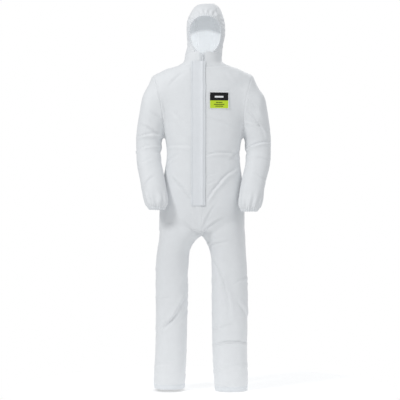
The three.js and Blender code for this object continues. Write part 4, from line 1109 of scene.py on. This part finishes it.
# The chest label: a white film with a dark field over a lime field, and plain bars for its lines.
LABEL_X, LABEL_H, LABEL_W, LABEL_T = 76.0, 1343.0, 90.0, 80.0


def front_depth(x, h):
    _, cx, half, front, back, power = between(BODY, h)[0]
    share = min(abs((x - cx) / half), 1) ** power
    return (front + back) / 2 - (back - front) / 2 * (1 - share) ** (1 / power)


def film(name, colour, rough):
    m, t, b = principled(name, colour, rough, coat=0.05)
    b.inputs["Specular IOR Level"].default_value = 0.2
    where = node(t, "ShaderNodeTexCoord").outputs["Object"]
    speck = node(t, "ShaderNodeTexNoise", Scale=260.0, Detail=3.0)
    t.links.new(where, speck.inputs["Vector"])
    dark = [c * 0.9 for c in colour]
    light = [min(1, c * 1.06 + 0.004) for c in colour]
    t.links.new(blend_colour(t, speck.outputs["Fac"], dark, light), b.inputs["Base Color"])
    raise_grain(t, b, speck.outputs["Fac"], 0.12, 0.0004)
    return m


films = [film("label_white", (0.86, 0.87, 0.88), 0.4), film("label_black", (0.004, 0.004, 0.005), 0.35),
         film("label_lime", (0.56, 0.75, 0.03), 0.4)]
label_edges = [front_depth(LABEL_X + k * LABEL_W / 2, LABEL_H) for k in (-1, 1)]
tilt = math.atan((label_edges[1] - label_edges[0]) / LABEL_W)
nu, nv = 85, 73
uu, vv = np.meshgrid(np.linspace(-LABEL_W / 2, LABEL_W / 2, nu), np.linspace(-LABEL_T / 2, LABEL_T / 2, nv))
u, v = uu.ravel(), vv.ravel()
corner = ease(0.6, 1.0, np.abs(u) / (LABEL_W / 2)) * ease(0.55, 1.0, np.abs(v) / (LABEL_T / 2))
y = -1.3 - 0.5 * corner + 0.25 * noise(np.stack([u / 18, v / 18, u * 0], axis=1), 91)
c, s = math.cos(LEAN), math.sin(LEAN)
y1, z1 = y * c + v * s, -y * s + v * c
label_points = np.stack([LABEL_X + u * math.cos(tilt) - y1 * math.sin(tilt),
                         front_depth(LABEL_X, LABEL_H) + u * math.sin(tilt) + y1 * math.cos(tilt),
                         LABEL_H + z1], axis=1)
label, area = sheet_grid("chest_label_film", label_points, nv, nu, films[0], 0.6, (0, -1, 0))
for m in films[1:]:
    label.data.materials.append(m)
centre = np.array([f.center[:] for f in label.data.polygons]) * 1000 + (0, 0, NECK)
du = (centre[:, 0] - LABEL_X) / math.cos(tilt)
dv = (centre[:, 2] - LABEL_H) / c
look = np.zeros(len(du), np.int32)
inside = (np.abs(du) < LABEL_W / 2 - 2.5) & (dv < LABEL_T / 2 - 5) & (dv > 2 - LABEL_T / 2)
look[inside & (dv > -2)] = 1
look[inside & (dv <= -2)] = 2
look[(np.abs(dv - 15) < 4) & (np.abs(du) < 20)] = 0
for middle, half in ((-11, 15), (-20, 24), (-28, 18)):
    look[(np.abs(dv - middle) < 1.6) & (np.abs(du) < half)] = 1
n_face = len(look)
look[n_face // 2:][look[n_face // 2:] > 0] = 0
label.data.polygons.foreach_set("material_index", look)
attach(label, "chest_label", "torso")

# ---------------------------------------------------------------- stage, light and camera

floor_z = float(cad_box[0][2]) - 0.002
FLOOR_RADIUS = 0.9
turns = np.linspace(0, 2 * math.pi, 64, endpoint=False)
ring = np.stack([FLOOR_RADIUS * np.cos(turns), FLOOR_RADIUS * np.sin(turns), np.full(64, floor_z)], axis=1)
floor_look, tree, shader = principled("stage_white", (0.7, 0.7, 0.7), 0.9)
shader.inputs["Emission Color"].default_value = (1, 1, 1, 1)
shader.inputs["Emission Strength"].default_value = 0.45
make_object("stage_floor", ring, [list(range(64))], [floor_look], smooth=False)

world = bpy.data.worlds.new("studio")
bpy.context.scene.world = world
world.use_nodes = True
tree = world.node_tree
soft = tree.nodes["Background"]
soft.inputs["Color"].default_value = (0.96, 0.98, 1.0, 1)
soft.inputs["Strength"].default_value = 0.60
paper = node(tree, "ShaderNodeBackground", Color=(1, 1, 1, 1), Strength=1.0)
which = node(tree, "ShaderNodeLightPath")
mix = node(tree, "ShaderNodeMixShader")
tree.links.new(which.outputs["Is Camera Ray"], mix.inputs[0])
tree.links.new(soft.outputs[0], mix.inputs[1])
tree.links.new(paper.outputs[0], mix.inputs[2])
tree.links.new(mix.outputs[0], tree.nodes["World Output"].inputs["Surface"])
bpy.context.scene.view_settings.view_transform = "Standard"


def lamp(name, where, size, power, target=(0, 0, -0.6)):
    light = bpy.data.lights.new(name, "AREA")
    light.shape = "RECTANGLE"
    light.size, light.size_y = size
    light.energy = power
    o = bpy.data.objects.new(name, light)
    o.location = where
    o.rotation_euler = (Vector(target) - Vector(where)).to_track_quat("-Z", "Y").to_euler()
    bpy.context.scene.collection.objects.link(o)


lamp("key", (-2.4, -2.3, 1.9), (0.9, 1.1), 54, (0, 0, -0.05))
lamp("fill", (2.3, -3.2, 0.9), (1.8, 2.0), 15, (0, 0, -0.2))
lamp("back", (1.6, 3.2, 2.0), (1.8, 1.8), 36, (0, 0, -0.3))

camera_data = bpy.data.cameras.new("camera")
camera = bpy.data.objects.new("camera", camera_data)
bpy.context.scene.collection.objects.link(camera)
bpy.context.scene.camera = camera
FRAME_SIDE, DISTANCE = 1.865, 6.5
camera_data.sensor_width = 36
camera_data.lens = 36 * DISTANCE / FRAME_SIDE
camera.location = (-0.012, -DISTANCE, -0.628)
camera.rotation_euler = (math.pi / 2, 0, 0)
camera_data.dof.use_dof = False
